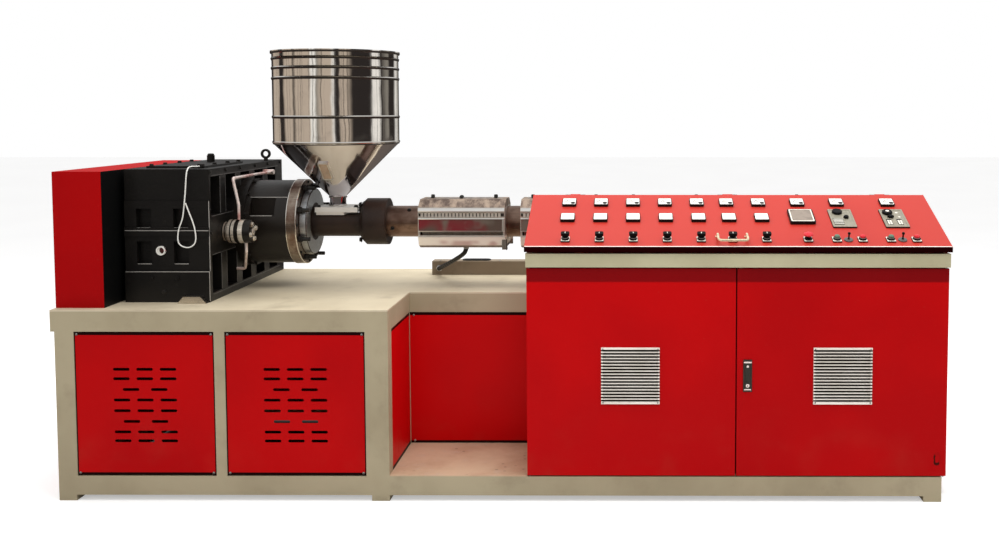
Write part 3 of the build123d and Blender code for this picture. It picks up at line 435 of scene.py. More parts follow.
def dirtyFloor(name):
    # the recess floor: beige sheet under dried splashes and a pinkish dust
    paint = Paint(name, IOR=1.45)
    patches = paint.between(paint.noise(4, 5, 0.6), 0.35, 0.7)
    base = paint.mix(patches, (0.56, 0.42, 0.28), (0.42, 0.28, 0.18))
    splash = paint.between(paint.noise(14, 7, 0.7), 0.54, 0.68)
    base = paint.mix(splash * 0.6, base, (0.50, 0.40, 0.30))
    dark = paint.between(paint.cells(26), 0.10, 0.22, 1.0, 0.0) * paint.between(paint.noise(8, 3), 0.5, 0.65)
    base = paint.mix(dark * 0.5, base, (0.07, 0.045, 0.03))
    paint.feed(Base_Color=base, Roughness=0.30 + 0.3 * paint.noise(10, 5, 0.6),
               Normal=paint.bump(paint.noise(60, 5, 0.6), 0.15, 0.001))
    return paint.material


def castPaint(name, colour, deep, roughness, grain=90, strength=0.35, worn=(0.10, 0.085, 0.07), gloss=0.3):
    # paint over a sand casting: lumpy grain, oil-dark lows, thin rubbed highs
    paint = Paint(name, IOR=1.45, Specular_IOR_Level=gloss)
    tone = paint.mix(paint.between(paint.noise(5, 5, 0.6), 0.35, 0.7), colour, deep)
    rub = paint.between(paint.noise(38, 6, 0.7), 0.62, 0.75)
    tone = paint.mix(rub * 0.35, tone, worn)
    sand = paint.bump(paint.noise(grain, 4, 0.6), strength, 0.0016)
    rough = roughness + 0.25 * (paint.noise(11, 4, 0.6) - 0.5)
    paint.feed(Base_Color=tone, Roughness=rough, Normal=sand)
    return paint.material


def machined(name, colour, roughness, rings=(1.0, 1.0, 1.0), heat=None, stain=0.3, metal=1.0):
    # turned or ground steel: fine tool lines along one direction, small stains, heat tint if any
    paint = Paint(name, Metallic=metal, IOR=2.0)
    lines = paint.noise(120, 3, 0.6, rings)
    tone = paint.mix(paint.between(lines, 0.3, 0.7), tuple(c * 0.82 for c in colour), colour)
    spot = paint.between(paint.noise(16, 6, 0.65), 0.55, 0.72) * stain
    tone = paint.mix(spot, tone, tuple(c * 0.35 for c in colour))
    if heat:
        tone = paint.mix(paint.between(paint.noise(7, 4, 0.6), 0.40, 0.66), tone, heat)
    rough = roughness + 0.22 * (lines - 0.5) + 0.15 * spot
    paint.feed(Base_Color=tone, Roughness=rough, Normal=paint.bump(lines, 0.08, 0.0005))
    return paint.material


def polished(name, colour, roughness=0.06, waviness=0.25, scale=5.0, metal=1.0):
    # rolled and polished stainless: slow waves in the sheet, upright brushing, smears
    paint = Paint(name, Metallic=metal, IOR=2.5)
    brushed = paint.noise(70, 3, 0.6, (1.0, 1.0, 0.06))
    smears = paint.between(paint.noise(9, 6, 0.65), 0.45, 0.75)
    tone = paint.mix(smears * 0.4, colour, tuple(c * 0.72 for c in colour))
    waves = paint.bump(paint.noise(scale, 2, 0.4), waviness, 0.02)
    fine = paint.bump(brushed, 0.03, 0.0004, waves)
    paint.feed(Base_Color=tone, Roughness=roughness + 0.05 * smears, Normal=fine)
    return paint.material


# heights on the heater covers, in the model's metres
casingLook = {"cover": (1.066, 1.070), "tray": (0.948, 0.951), "paintedRedReflection": (0.920, 0.936),
              "shadeUnder": (0.903, 0.911)}


def casingSteel(name):
    # folded stainless: heat-browned streaks over the sloping cover, a tray made pale as painted highlight, a
    # painted red reflection low on it and painted shade under it
    paint = Paint(name, IOR=2.0)
    height = paint.axis("z")
    streak = paint.noise(17, 6, 0.68, (1.8, 1.0, 0.5))
    tone = paint.mix(paint.between(streak, 0.38, 0.62), (0.80, 0.77, 0.71), (0.66, 0.62, 0.55))
    cover = paint.between(height, *casingLook["cover"])
    browned = paint.mix(paint.between(streak, 0.36, 0.64), (0.39, 0.29, 0.215), (0.10, 0.062, 0.045))
    tone = paint.mix(cover, tone, browned)
    # painted highlight: the tray below its seam is made near white and less metallic
    tone = paint.mix(paint.between(height, *casingLook["tray"], 1.0, 0.0), tone, (0.98, 0.93, 0.82))
    patches = paint.between(paint.noise(7, 2, 0.5), 0.48, 0.6)
    # painted reflection of the red cabinet in patches low on the tray
    paintedRedReflection = paint.between(height, *casingLook["paintedRedReflection"], 1.0, 0.0) * patches
    tone = paint.mix(paintedRedReflection * 0.6, tone, (0.42, 0.16, 0.14))
    # painted shade on the tray's underside
    shadeUnder = paint.between(height, *casingLook["shadeUnder"], 1.0, 0.0)
    tone = paint.mix(shadeUnder * 0.92, tone, (0.060, 0.010, 0.012))
    metal = 0.25 + 0.7 * paint.between(height, *casingLook["tray"]) - 0.45 * cover
    paint.feed(Base_Color=tone, Metallic=metal, Roughness=0.40 + 0.12 * streak,
               Normal=paint.bump(paint.noise(11, 2, 0.4), 0.10, 0.01))
    return paint.material


def bandReflection(name):
    # a strip with painted reflections: broad patches of plum red and grey-brown on dull metal
    paint = Paint(name, Metallic=0.7, IOR=1.8)
    patch = paint.between(paint.noise(5.5, 1, 0.4), 0.44, 0.52)
    tone = paint.mix(patch, (0.30, 0.035, 0.045), (0.16, 0.12, 0.095))
    tone = paint.mix(paint.between(paint.noise(9, 2, 0.5), 0.5, 0.62), tone, (0.26, 0.22, 0.18))
    paint.feed(Base_Color=tone, Roughness=0.32 + 0.1 * paint.noise(20, 3))
    return paint.material


def plastic(name, colour, roughness, grain=400, strength=0.12, dirtShare=0.15, gloss=0.5):
    # moulded plastic with a fine spark texture and a little handling dirt
    paint = Paint(name, IOR=1.46, Specular_IOR_Level=gloss)
    dust = paint.between(paint.noise(30, 5, 0.6), 0.5, 0.8) * dirtShare
    tone = paint.mix(dust, colour, (0.05, 0.045, 0.04))
    paint.feed(Base_Color=tone, Roughness=roughness + 0.12 * (paint.noise(50, 3) - 0.5),
               Normal=paint.bump(paint.noise(grain, 2), strength, 0.0003))
    return paint.material


# where the slats lie, in the model's metres
slatLook = {"first": 0.3805, "pitch": 0.0118235, "lead": 0.12, "middle": 0.481, "half": 0.100,
            "tips": -0.5277, "ease": 0.0004, "shadeUnder": (0.012, 0.008, 0.005)}


def grillePlastic(name):
    # pale slats whose downward faces are painted black as shade, and that painted shade reaching through the
    # side rims in step with the slats
    paint = Paint(name, Roughness=0.5, IOR=1.46, Specular_IOR_Level=0.1)
    height = paint.axis("z")
    tips, half, ease = (slatLook[key] for key in ("tips", "half", "ease"))
    deeper = paint.between(paint.axis("y"), tips, tips + ease)
    # painted shade on the slats' downward faces
    under = paint.between(paint.facing("z"), -0.4, 0.1, 1.0, 0.0) * deeper
    step = paint.fraction((height - slatLook["first"]) / slatLook["pitch"] + slatLook["lead"])
    inRows = paint.between(paint.size(height - slatLook["middle"]), half, half + ease, 1, 0)
    sideRim = paint.between(paint.facing("y"), -0.97, -0.95, 1, 0) * inRows
    tone = paint.mix(paint.between(paint.noise(12, 5), 0.4, 0.7), (0.90, 0.85, 0.78), (0.80, 0.75, 0.67))
    tone = paint.mix(under, tone, slatLook["shadeUnder"])
    tone = paint.mix(sideRim * paint.between(step, 0.46, 0.56), tone, slatLook["shadeUnder"])
    paint.feed(Base_Color=tone, Normal=paint.bump(paint.noise(300, 2), 0.1, 0.0003))
    return paint.material


def clearPane(name, colour, roughness=0.08):
    # a tinted pane: one colour with softly darker patches under a thin clear coat
    paint = Paint(name, IOR=1.5, Coat_Weight=0.6)
    tone = paint.mix(paint.between(paint.noise(40, 4), 0.45, 0.7), colour, tuple(c * 0.7 for c in colour))
    paint.feed(Base_Color=tone, Roughness=roughness + 0.15 * paint.noise(25, 4, 0.6))
    return paint.material


# rims of the louvre and recess panels, along which shade is painted
panelRims = {"middle": -1.0505, "aside": 0.283, "height": 0.370, "halfX": 0.261, "halfZ": 0.264}
recessRims = {"middle": 0.0, "aside": 0.0, "height": 0.370, "halfX": 3.0, "halfZ": 0.264}
# door marks: the height above which the cover's shadow is painted on the doors, the x of their seam, where a
# shade line is painted on the mullion, and a real chip
doorMarks = {"coverShadowFrom": 0.834, "seam": 0.8865, "chip": {"x": 1.643, "z": 0.166, "radius": 0.007}}
finishes = {
    # the red finishes differ by depth as lit and shaded copies of one paint, painted light
    "red": redPaint("glossRed"),
    "redPanel": redPaint("glossRedPanels", depth=0.96, panels=panelRims),
    "redRecess": redPaint("glossRedRecess", depth=1.12, panels=recessRims),
    "redLeftDoor": redPaint("glossRedLeftDoor", coverShadowFrom=doorMarks["coverShadowFrom"]),
    "redDoor": redPaint("glossRedRightDoor", doorMarks["chip"], depth=0.94, coverShadowFrom=doorMarks["coverShadowFrom"]),
    "redGuard": redPaint("glossRedGuard", darkSide=True, dusty=0.0, depth=0.76),
    "lidRed": lidPaint("glossRedLid"),
    "beige": beigePaint("satinBeige"),
    "beigePosts": beigePaint("satinBeigePosts", joints=True),
    "beigeMullion": beigePaint("satinBeigeMullion", seam=doorMarks["seam"]),
    # the bench and band are lit copies of the beige and the trunk a shaded copy, painted light
    "bench": beigePaint("satinBeigeBench", 0.30, 0.35, paintedLight=(1.42, 1.43, 1.56)),
    "beigeBand": beigePaint("satinBeigeBand", 0.2, paintedLight=(1.20, 1.30, 1.28)),
    "trunkPaint": beigePaint("trunkInPaintedShade", 0.7, paintedLight=(0.60, 0.55, 0.58)),
    "recessFloor": dirtyFloor("dustyFloorSheet"),
    "gearbox": castPaint("gearboxBlack", (0.0085, 0.0075, 0.0065), (0.0045, 0.004, 0.0038), 0.38,
                         worn=(0.045, 0.038, 0.032)),
    "cast": castPaint("oiledCasting", (0.011, 0.008, 0.006), (0.005, 0.0038, 0.003), 0.34, 70, 0.45,
                      worn=(0.06, 0.045, 0.035), gloss=0.45),
    "collar": castPaint("heatBrownedCasting", (0.030, 0.017, 0.012), (0.012, 0.007, 0.006), 0.45, 60, 0.55,
                        worn=(0.09, 0.06, 0.045)),
    "barrel": machined("heatDarkenedSteel", (0.30, 0.20, 0.155), 0.40, (0.08, 1.0, 1.0),
                       (0.13, 0.075, 0.055), 0.5),
    "ringSteel": machined("brownedRing", (0.46, 0.38, 0.31), 0.30, (0.05, 1.0, 1.0),
                          (0.13, 0.07, 0.05), 0.5),
    "flangeSteel": machined("flangeFace", (0.62, 0.65, 0.67), 0.46, (0.3, 1.0, 1.0), stain=0.5),
    "machined": machined("groundSteel", (0.62, 0.56, 0.48), 0.26, (0.05, 1.0, 1.0)),
    "zinc": machined("zincPlate", (0.62, 0.63, 0.63), 0.30, (1.0, 1.0, 0.3)),
    "lockSteel": machined("lockSteel", (0.075, 0.08, 0.066), 0.34, (1.0, 1.0, 0.2), metal=0.6),
    "pipe": machined("brightTube", (0.93, 0.80, 0.74), 0.38, (0.4, 0.4, 0.4), (0.55, 0.18, 0.14), 0.15, 0.3),
    "bandSteel": machined("brightBand", (0.86, 0.78, 0.66), 0.30, (0.1, 1.0, 1.0),
                          (0.30, 0.22, 0.16), 0.3, 0.6),
    "stainless": polished("polishedStainless", (0.80, 0.77, 0.72)),
    "coneSteel": polished("polishedCone", (0.76, 0.73, 0.75), 0.09),
    "casing": casingSteel("heaterCasing"),
    "plate": polished("plainPolish", (0.80, 0.77, 0.71), 0.42, 0.06, 9.0, metal=0.35),
    "blackBolt": castPaint("blackenedBolt", (0.02, 0.018, 0.016), (0.01, 0.009, 0.008), 0.35, 200, 0.15),
    "grille": grillePlastic("grillePlastic"),
    "bezel": plastic("blackBezel", (0.008, 0.008, 0.008), 0.35, gloss=0.15),
    "faceWhite": plastic("whiteFace", (0.74, 0.72, 0.67), 0.30, dirtShare=0.05),
    "facePale": plastic("paleWindow", (0.60, 0.60, 0.57), 0.25, dirtShare=0.05),
    "faceInk": plastic("faceInk", (0.03, 0.03, 0.03), 0.5),
    "switchBlack": plastic("switchBlack", (0.004, 0.004, 0.004), 0.30, dirtShare=0.03, gloss=0.12),
    "stripe": plastic("labelStripe", (0.74, 0.71, 0.62), 0.4),
    "panelMetal": machined("keypadPlate", (0.36, 0.33, 0.25), 0.38, (1.0, 0.1, 1.0), metal=0.4),
    "screen": clearPane("displayScreen", (0.24, 0.19, 0.15), 0.34),
    "brass": machined("polishedBrass", (0.95, 0.80, 0.54), 0.26, (0.3, 1.0, 1.0), stain=0.1, metal=0.6),
    "glass": clearPane("sightGlass", (0.42, 0.30, 0.20)),
    "redCap": plastic("redCap", (0.55, 0.02, 0.03), 0.22, dirtShare=0.05),
    "greenCap": plastic("greenCap", (0.10, 0.16, 0.11), 0.22, dirtShare=0.05),
    "paintedHighlight": plastic("paintedHighlightPlastic", (0.88, 0.76, 0.70), 0.25, dirtShare=0.05),
    "wornEdgeAndHighlight": machined("rubbedEdgeAndHighlight", (0.42, 0.40, 0.37), 0.40, (0.2, 1.0, 1.0), metal=0.1),
    "dullEdge": machined("dullEdge", (0.10, 0.095, 0.09), 0.5, (0.2, 1.0, 1.0), metal=0.1),
    "sightDark": clearPane("sightDark", (0.05, 0.012, 0.010)),
    "chromeBand": polished("chromeBand", (0.78, 0.74, 0.68), 0.14, 0.15, 14.0),
    "casingBright": polished("foldedLip", (0.92, 0.90, 0.86), 0.28, 0.05, 9.0),
    "bandReflection": bandReflection("bandPaintedReflection"),
    "seamDark": plastic("seamShadow", (0.020, 0.014, 0.010), 0.5),
    "sheath": plastic("paleSheath", (0.78, 0.77, 0.72), 0.45),
    "rubber": plastic("conduitRubber", (0.012, 0.012, 0.012), 0.5, 200, 0.2),
}
print("finishes made:", len(finishes))

nodeFinish = {
    "bottom_rails": "beige", "bottom_cross_rails": "beige", "frame_posts": "beigePosts",
    "top_rails": "beige", "top_cross_rails": "beige", "bench_plate": "bench", "machine_feet": "beige",
    "louvre_panel_left": "redPanel", "louvre_panel_right": "redPanel", "end_panels": "red",
    "recess_panels": "redRecess", "floor_plates": "recessFloor", "rear_panels": "red",
    "cabinet_sides": "red", "cabinet_back": "red", "cabinet_mullion": "beigeMullion",
    "console_band": "beigeBand", "hinge_pins": "zinc", "belt_guard": "redGuard",
    "gearbox_lower": "gearbox", "gearbox_upper": "gearbox", "gearbox_cover": "gearbox",
    "lifting_eye": "blackBolt", "gearbox_foot_clamp": "machined", "sight_glass": "faceWhite",
    "oil_pump": "cast", "oil_pipes": "pipe", "thrust_housing": "cast", "bearing_ring": "ringSteel",
    "feed_section": "collar", "barrel_coupling": "collar", "barrel": "barrel", "die_flange": "barrel",
    "heater_1": "casing", "heater_2": "casing", "heater_3": "casing", "heater_4": "casing",
    "clamp_bolts": "blackBolt", "barrel_stand": "beige", "hopper_gate": "plate", "hopper_plate": "plate",
    "hopper_cone": "coneSteel", "hopper_drum": "stainless", "hopper_window": "glass",
    "cable_trunk": "trunkPaint", "conduits": "rubber", "hanging_wire": "sheath",
    "cabinet_door_left": "redLeftDoor", "grille_left": "grille", "cabinet_door_right": "redDoor",
    "grille_right": "grille", "door_lock": "lockSteel", "console_lid": "lidRed", "lid_handle": "brass",
    "temperature_meters": "bezel", "temperature_controllers": "bezel", "selector_switches": "switchBlack",
    "display_and_keypads": "bezel", "push_buttons": "switchBlack",
}
for node, finish in nodeFinish.items():
    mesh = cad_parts[node].data
    mesh.materials.clear()
    mesh.materials.append(finishes[finish])
print("CAD nodes finished:", len(nodeFinish), "of", len(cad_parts))

wire = {"radius": 2.5, "route": (
    (474, 250, 1253), (474, 218, 1253), (464, 176, 1256), (462, 157, 1238), (459, 155, 1204),
    (456, 155, 1160), (450, 155, 1105), (443, 155, 1052), (426, 156, 1016), (420, 156, 968),
    (433, 156, 948), (461, 156, 940), (484, 156, 951), (493, 156, 972), (490, 156, 1010),
    (481, 155, 1046), (466, 152, 1088), (458, 149, 1116))}
wireRoute = toModel(wire["route"])
wireCurve = bpy.data.curves.new("hangingWire", "CURVE")
wireCurve.dimensions = "3D"
wireLine = wireCurve.splines.new("NURBS")
wireLine.points.add(len(wireRoute) - 1)
wireLine.points.foreach_set("co", np.hstack([wireRoute, np.ones((len(wireRoute), 1))]).ravel())
wireLine.order_u = 3
wireLine.use_endpoint_u = True
wireCurve.bevel_depth = wire["radius"] / 1000
wireCurve.bevel_resolution = 2
wireCurve.use_fill_caps = True
wirePiece = bpy.data.objects.new("hangingWireLoop", wireCurve)
bpy.context.scene.collection.objects.link(wirePiece)
wireCurve.materials.append(finishes["sheath"])
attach(wirePiece, "machine")
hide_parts("hanging_wire")
print("wire laid")

zones = {"barrel": 5, "first": 1930.0, "pitch": 127.3, "groupGap": 118.0, "die": 2}
barrelZones = zones["first"] + zones["pitch"] * np.arange(zones["barrel"])
dieZones = barrelZones[-1] + zones["groupGap"] + zones["pitch"] * np.arange(zones["die"])
zoneX = np.concatenate([barrelZones, dieZones])
displayX, keypadX = 2840.0, np.array([2997.0, 3199.0])
meterX = np.concatenate([zoneX, [displayX], keypadX])


def rowOf(xs, row, height=0.0):
    # one offset for each x, at a row up the lid's slope
    xs = np.atleast_1d(xs)
    return np.stack([xs, np.full(len(xs), row), np.full(len(xs), height)], -1)


def inRow(grid, xs, row, height=0.0):
    # the same grid on the lid once at each x, at a row up its slope
    return onLid(copies(grid, rowOf(xs, row, height)))


meter = {"row": 361.0, "size": 51.0, "top": 10.0, "face": 1.2, "hub": 8.5, "hubAside": 15.0,
         "needle": 27.0, "needleAt": 150.0, "arc": 32.0, "ticks": (28.0, 33.0), "ink": 0.3}
faceLevels = [(-0.5, 0), (meter["face"] - 0.4, 0), (meter["face"], 0.4)]
meterFace = pad(meter["size"], meter["size"], 3, faceLevels)
piece("meterFaces", [inRow(meterFace, meterX, meter["row"], meter["top"])],
      "lid", finishes["faceWhite"])
hub = turned([(0, 0), (meter["hub"], 0), (meter["hub"], 1.2), (meter["hub"] - 1.5, 2.0), (0, 2.0)], 20)
hubPlace = rowOf(meterX + meter["hubAside"], meter["row"] - meter["hubAside"], meter["top"] + meter["face"])
sweepAngle = np.linspace(math.radians(98), math.radians(172), 24)
scaleArc = np.stack([meter["arc"] * np.cos(sweepAngle), meter["arc"] * np.sin(sweepAngle),
                     0 * sweepAngle + meter["ink"]], -1)
tickAngle = np.radians(np.linspace(100, 170, 8))
needleEnd = np.radians(meter["needleAt"])
needleTip = [meter["needle"] * math.cos(needleEnd), meter["needle"] * math.sin(needleEnd), 1.2]
needlePath = np.linspace([0, 0, 1.2], needleTip, 3)


def scaleTick(angle):
    # a short radial mark: between two radii along (cos a, sin a)
    aim = np.array([math.cos(angle), math.sin(angle), 0])
    ends = np.array(meter["ticks"])[:, None] * aim
    return tube(ends + np.array([0, 0, meter["ink"]]), 0.4, 6, (0, 0, 1))


marks = [tube(scaleArc, 0.45, 6, (0, 0, 1)), tube(needlePath, 0.6, 6, (0, 0, 1))]
marks += [scaleTick(angle) for angle in tickAngle]
piece("meterHubsAndScales", [onLid(copies(grid, hubPlace)) for grid in [hub] + marks],
      "lid", finishes["faceInk"])

controller = {"row": 227.0, "size": 51.0, "top": 11.0, "window": (36.0, 15.0), "key": (7.0, 5.0)}
controllerFace = pad(controller["size"], controller["size"], 3, faceLevels)
piece("controllerFaces", [inRow(controllerFace, zoneX, controller["row"], controller["top"])],
      "lid", finishes["faceWhite"])
windowPad = pad(*controller["window"], 1.5, [(1.0, 0), (1.5, 0), (1.8, 0.3)])
keyPad = pad(*controller["key"], 1.2, [(1.0, 0), (2.2, 0), (2.6, 0.5)])
keySpots = np.concatenate([rowOf(zoneX + shift, controller["row"] - 16, controller["top"])
                           for shift in (-16.5, -5.5, 5.5, 16.5)])
piece("controllerWindowsAndKeys", [
    inRow(windowPad, zoneX, controller["row"] + 10, controller["top"]),
    onLid(copies(keyPad, keySpots))], "lid", finishes["facePale"])

selector = {"row": 53.0, "base": 34.0, "thick": 5.0, "ring": 15.0, "top": 32.0}
switchBase = pad(selector["base"], selector["base"] + 4, 2.5, [(0, 0), (4, 0), (selector["thick"], 1)])
ringWide = selector["ring"]
switchRing = turned([(0, 5), (ringWide, 5), (ringWide, 9), (ringWide - 2, 11), (0, 11)], 28)
knob = pad(27, 16, 3, [(11, 4.0), (15, 3.0), (23, -2.4), (31.2, -2.4), (selector["top"], -1.6)])
pointer = pad(2.2, 12, 0.6, [(31.6, 0), (32.5, 0)])
greenX, redX, leverX = keypadX - 50, keypadX + 46, keypadX - 6
buttonX = np.concatenate([greenX, redX])
baseX = np.concatenate([zoneX, [displayX], buttonX])
stopStem = turned([(0, 11), (9, 11), (9, 20), (0, 20)], 20)
lever = turned([(0, 5), (5, 5), (3.2, 9), (3.0, 24), (5.2, 26), (5.4, 31), (3.5, 33), (0, 33)], 16)
switchParts = ((switchBase, baseX), (switchRing, baseX), (knob, zoneX), (stopStem, displayX), (lever, leverX))
switchBodies = piece("switchBodies", [inRow(grid, xs, selector["row"]) for grid, xs in switchParts],
                     "lid", finishes["switchBlack"])
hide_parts("selector_switches", "push_buttons")
labelRing = frameRing(selector["base"] - 2, selector["base"] + 2, 2, 5, 4.8, 5.8)
piece("switchLabelPlates", [inRow(labelRing, baseX, selector["row"]), inRow(pointer, zoneX, selector["row"])],
      "lid", finishes["stripe"])
collar = turned([(9, 10.8), (12.5, 10.8), (12.5, 12.6), (11.5, 13.4), (9, 13.4), (9, 10.8)], 28)
leverPlate = turned([(0, 0), (16.5, 0), (16.5, 3.5), (15, 5), (11, 5.4), (0, 5.4)], 32)
piece("switchCollars", [
    inRow(collar, np.concatenate([zoneX, buttonX]), selector["row"]),
    inRow(leverPlate, leverX, selector["row"])],
    "lid", finishes["dullEdge"])
capDome = turned([(0, 11), (10.5, 11), (10.8, 17), (9.5, 20), (6, 22), (0, 22.6)], 28)
stopHead = turned([(0, 20), (13, 20), (17.5, 23), (18, 26), (15, 29), (8, 31), (0, 31.5)], 32)
piece("greenPushCaps", [inRow(capDome, greenX, selector["row"])],
      "lid", finishes["greenCap"])
piece("redPushCaps", [inRow(capDome, redX, selector["row"]), inRow(stopHead, displayX, selector["row"])],
      "lid", finishes["redCap"])

screen = {"size": (98.0, 110.0), "row": 235.0, "top": 12.0, "rim": 9.0}
screenRing = frameRing(screen["size"][0] - 9, screen["size"][1] - 9, 4, 4.5, screen["top"] - 0.5,
                       screen["top"] + 1.6)
piece("displayFrame", [inRow(screenRing, displayX, screen["row"])],
      "lid", finishes["stripe"])
glassPad = pad(*(side - 2 * screen["rim"] for side in screen["size"]), 1, [(-0.5, 0), (0.5, 0)])
piece("displayGlass", [inRow(glassPad, displayX, screen["row"], screen["top"])],
      "lid", finishes["screen"])

keypad = {"size": (92.0, 150.0), "row": 225.0}
keypadPad = pad(keypad["size"][0] - 2, keypad["size"][1] - 2, 4, [(4.5, 0), (5.4, 0), (5.6, 0.2)])
plateRing = frameRing(keypad["size"][0] - 1, keypad["size"][1] - 1, 4, 7, 4.6, 6.8)
piece("keypadPlates", [inRow(keypadPad, keypadX, keypad["row"]), inRow(plateRing, keypadX, keypad["row"])],
      "lid", finishes["panelMetal"])
dial = turned([(0, 5), (20, 5), (20, 12), (18, 15), (0, 15)], 28)
darkKnob = turned([(0, 5), (11, 5), (10, 13), (8, 15), (0, 15)], 6)
lobes = np.where(np.arange(12) % 2, 7.0, 13.0)  # a hand knob's six lobes and hollows
lobeAngle = np.arange(12) * math.pi / 6
starRing = np.stack([lobes * np.cos(lobeAngle), lobes * np.sin(lobeAngle), 0 * lobes], -1)
star = capped(np.stack([starRing + (0, 0, 5), starRing + (0, 0, 13), starRing * 0.7 + (0, 0, 15)]))
plainX, busyX = keypadX


def onKeypad(grid, x, row, height=0.0):
    # the same on the lid at that x, so far up the slope from the keypads' middle
    return inRow(grid, x, keypad["row"] + row, height)


keyBlock = pad(20, 46, 2, [(5, 0), (6.2, 0)])
piece("keypadDials", [
    onKeypad(dial, plainX - 12, 46), onKeypad(darkKnob, plainX + 16, 2), onKeypad(dial, busyX - 18, 42),
    onKeypad(star, busyX - 12, 6), onKeypad(pad(40, 50, 2, [(5, 0), (6.2, 0)]), plainX - 18, -30),
    onKeypad(keyBlock, busyX - 24, -34), onKeypad(keyBlock, busyX + 16, -34)],
    "lid", finishes["switchBlack"])
labelBar = pad(38, 4.6, 1.2, [(0, 0), (1.2, 0), (1.6, 0.4)])
smallKey = pad(7.5, 7, 1.4, [(0, 0), (1.4, 0), (1.9, 0.5)])
dialCap = turned([(0, 15), (7, 15), (7, 16.4), (5, 17), (0, 17)], 20)
keyRows = (-18, -9, 0, 9)
piece("keypadKeys",
      [onKeypad(labelBar, plainX - 18, -30 + row, 6.0) for row in (-18, -6, 6, 17)]
      + [onKeypad(smallKey, busyX + aside + shift, -34 + row, 6.0)
         for aside in (-24, 16) for shift in (-4.6, 4.6) for row in keyRows]
      + [onKeypad(dialCap, busyX - 18, 42), onKeypad(pad(11, 9, 2, [(5, 0), (6.4, 0)]), busyX + 18, 44),
         onKeypad(pad(9, 8, 2, [(5, 0), (6.4, 0)]), busyX + 22, 8)],
      "lid", finishes["stripe"])

bow = {"x": 2557.0, "row": 80.0, "half": 55.0, "height": 14.0, "reach": 66.0, "droop": 16.0, "heel": 8.0,
       "bend": 16.0, "radius": 5.0, "foot": 8.0, "footHeight": 3.0}


def roundedPath(corners, bends, steps=7):
    # each inner corner c becomes the curve (1-t)^2 p + 2 t (1-t) c + t^2 q, with p and q one bend away
    corners = np.array(corners, float)
    path, t = [corners[:1]], np.linspace(0, 1, steps)[:, None]
    for before, corner, after, bend in zip(corners, corners[1:], corners[2:], bends):
        p = corner + (before - corner) * bend / np.linalg.norm(before - corner)
        q = corner + (after - corner) * bend / np.linalg.norm(after - corner)
        path.append((1 - t) ** 2 * p + 2 * t * (1 - t) * corner + t ** 2 * q)
    return np.concatenate(path + [corners[-1:]])


lean = lidAngle - math.radians(bow["droop"])
bowY, bowZ = -bow["reach"] * math.cos(lean), bow["height"] + bow["reach"] * math.sin(lean)
bowPath = roundedPath([(-bow["half"], 0, 0), (-bow["half"], 0, bow["height"]), (-bow["half"], bowY, bowZ),
                       (bow["half"], bowY, bowZ), (bow["half"], 0, bow["height"]), (bow["half"], 0, 0)],
                      (bow["heel"], bow["bend"], bow["bend"], bow["heel"]))
bowFoot = turned([(0, 0), (bow["foot"], 0), (bow["foot"], 2.0), (bow["foot"] - 1.4, bow["footHeight"]),
                  (0, bow["footHeight"])], 24)
bowPlace = rowOf(bow["x"], bow["row"])
smoothHandle = piece("smoothHandle", [
    onLid(copies(tube(bowPath, bow["radius"], 16, (1, 1, 1)), bowPlace)),
    onLid(copies(bowFoot, bowPlace + np.array([[-bow["half"], 0, 0], [bow["half"], 0, 0]])))],
    "lid", finishes["brass"], 50)
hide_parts("lid_handle")

# a pale strip along the lid's folded front edge: a painted highlight
fold = {"middle": 2573.0, "row": 2.6, "long": 1586.0, "wide": 4.6, "high": 0.9}
foldGrid = pad(fold["long"], fold["wide"], 1.2, [(0, 0), (0.5, 0), (fold["high"], 0.6)])
piece("lidFoldHighlight", [inRow(foldGrid, fold["middle"], fold["row"])],
      "lid", finishes["paintedHighlight"])
print("console instruments made")

lock = {"x": 2612.5, "z": 481.5, "front": -4.0}


def onFront(grid, x, y, z):
    # a shape made standing up is laid to face the front, centred on (x, z), its foot at y
    return facingFront(grid) + np.array([x, y, z])


def onLock(grid, rise):
    # the same on the lock's plate, that much above its middle
    return onFront(grid, lock["x"], lock["front"], lock["z"] + rise)


piece("lockPaddle", [
    onLock(pad(15, 62, 3, [(0, 0), (3.2, 0), (4.4, 1.2)]), 10),
    onLock(frameRing(24, 108, 4, 3, 0, 1.4), 0)],
    "right_door", finishes["lockSteel"])
# the lock's end bars, dome and cylinder face made pale as painted highlights
piece("lockPaintedHighlights", [
    onLock(pad(29, 5, 1, [(0, 0), (3.2, 0), (4.2, 1.0)]), 51),
    onLock(pad(26, 4, 1, [(0, 0), (2.2, 0), (3.0, 0.8)]), -52),
    onLock(turned([(0, 4.0), (4.6, 4.0), (4, 5.6), (0, 6.2)], 20), 36),
    onLock(turned([(0, 0), (7, 0), (7, 2.4), (5.5, 3.6), (0, 4.0)], 24), -37)],
    "right_door", finishes["paintedHighlight"])
piece("lockSlots", [
    onLock(pad(2, 8, 0.5, [(3.6, 0), (4.3, 0)]), -37),
    onLock(frameRing(18, 66, 3, 1.4, 0, 1.0), 10)],
    "right_door", finishes["faceInk"])

grilles = {"left": 2174.0, "right": 2968.0, "z": 481.0, "spot": (103.0, 101.0)}
grilleScrew = facingFront(turned([(0, 0), (3.2, 0), (2.6, 1.2), (0, 1.6)], 12))
for side, body in (("left", "left_door"), ("right", "right_door")):
    x = grilles[side]
    across, up = grilles["spot"]
    corners = [(x + a * across, -8.0, grilles["z"] + b * up) for a in (-1, 1) for b in (-1, 1)]
    piece(side + "GrilleScrews", [copies(grilleScrew, corners)], body, finishes["zinc"])

panelScrews = {"left": (89.0, 611.0), "right": (655.0, 1177.0), "low": 106.0, "high": 634.0, "inset": 9.0}
screwHead = facingFront(turned([(0, 0), (5.0, 0), (4.6, 1.6), (2.8, 2.4), (0, 2.6)], 16))
spots = [(x + sign * panelScrews["inset"], 2.0, z) for pair in (panelScrews["left"], panelScrews["right"])
         for x, sign in zip(pair, (1, -1)) for z in (panelScrews["low"], panelScrews["high"])]
piece("louvrePanelScrews", [copies(screwHead, spots)], "machine", finishes["zinc"])

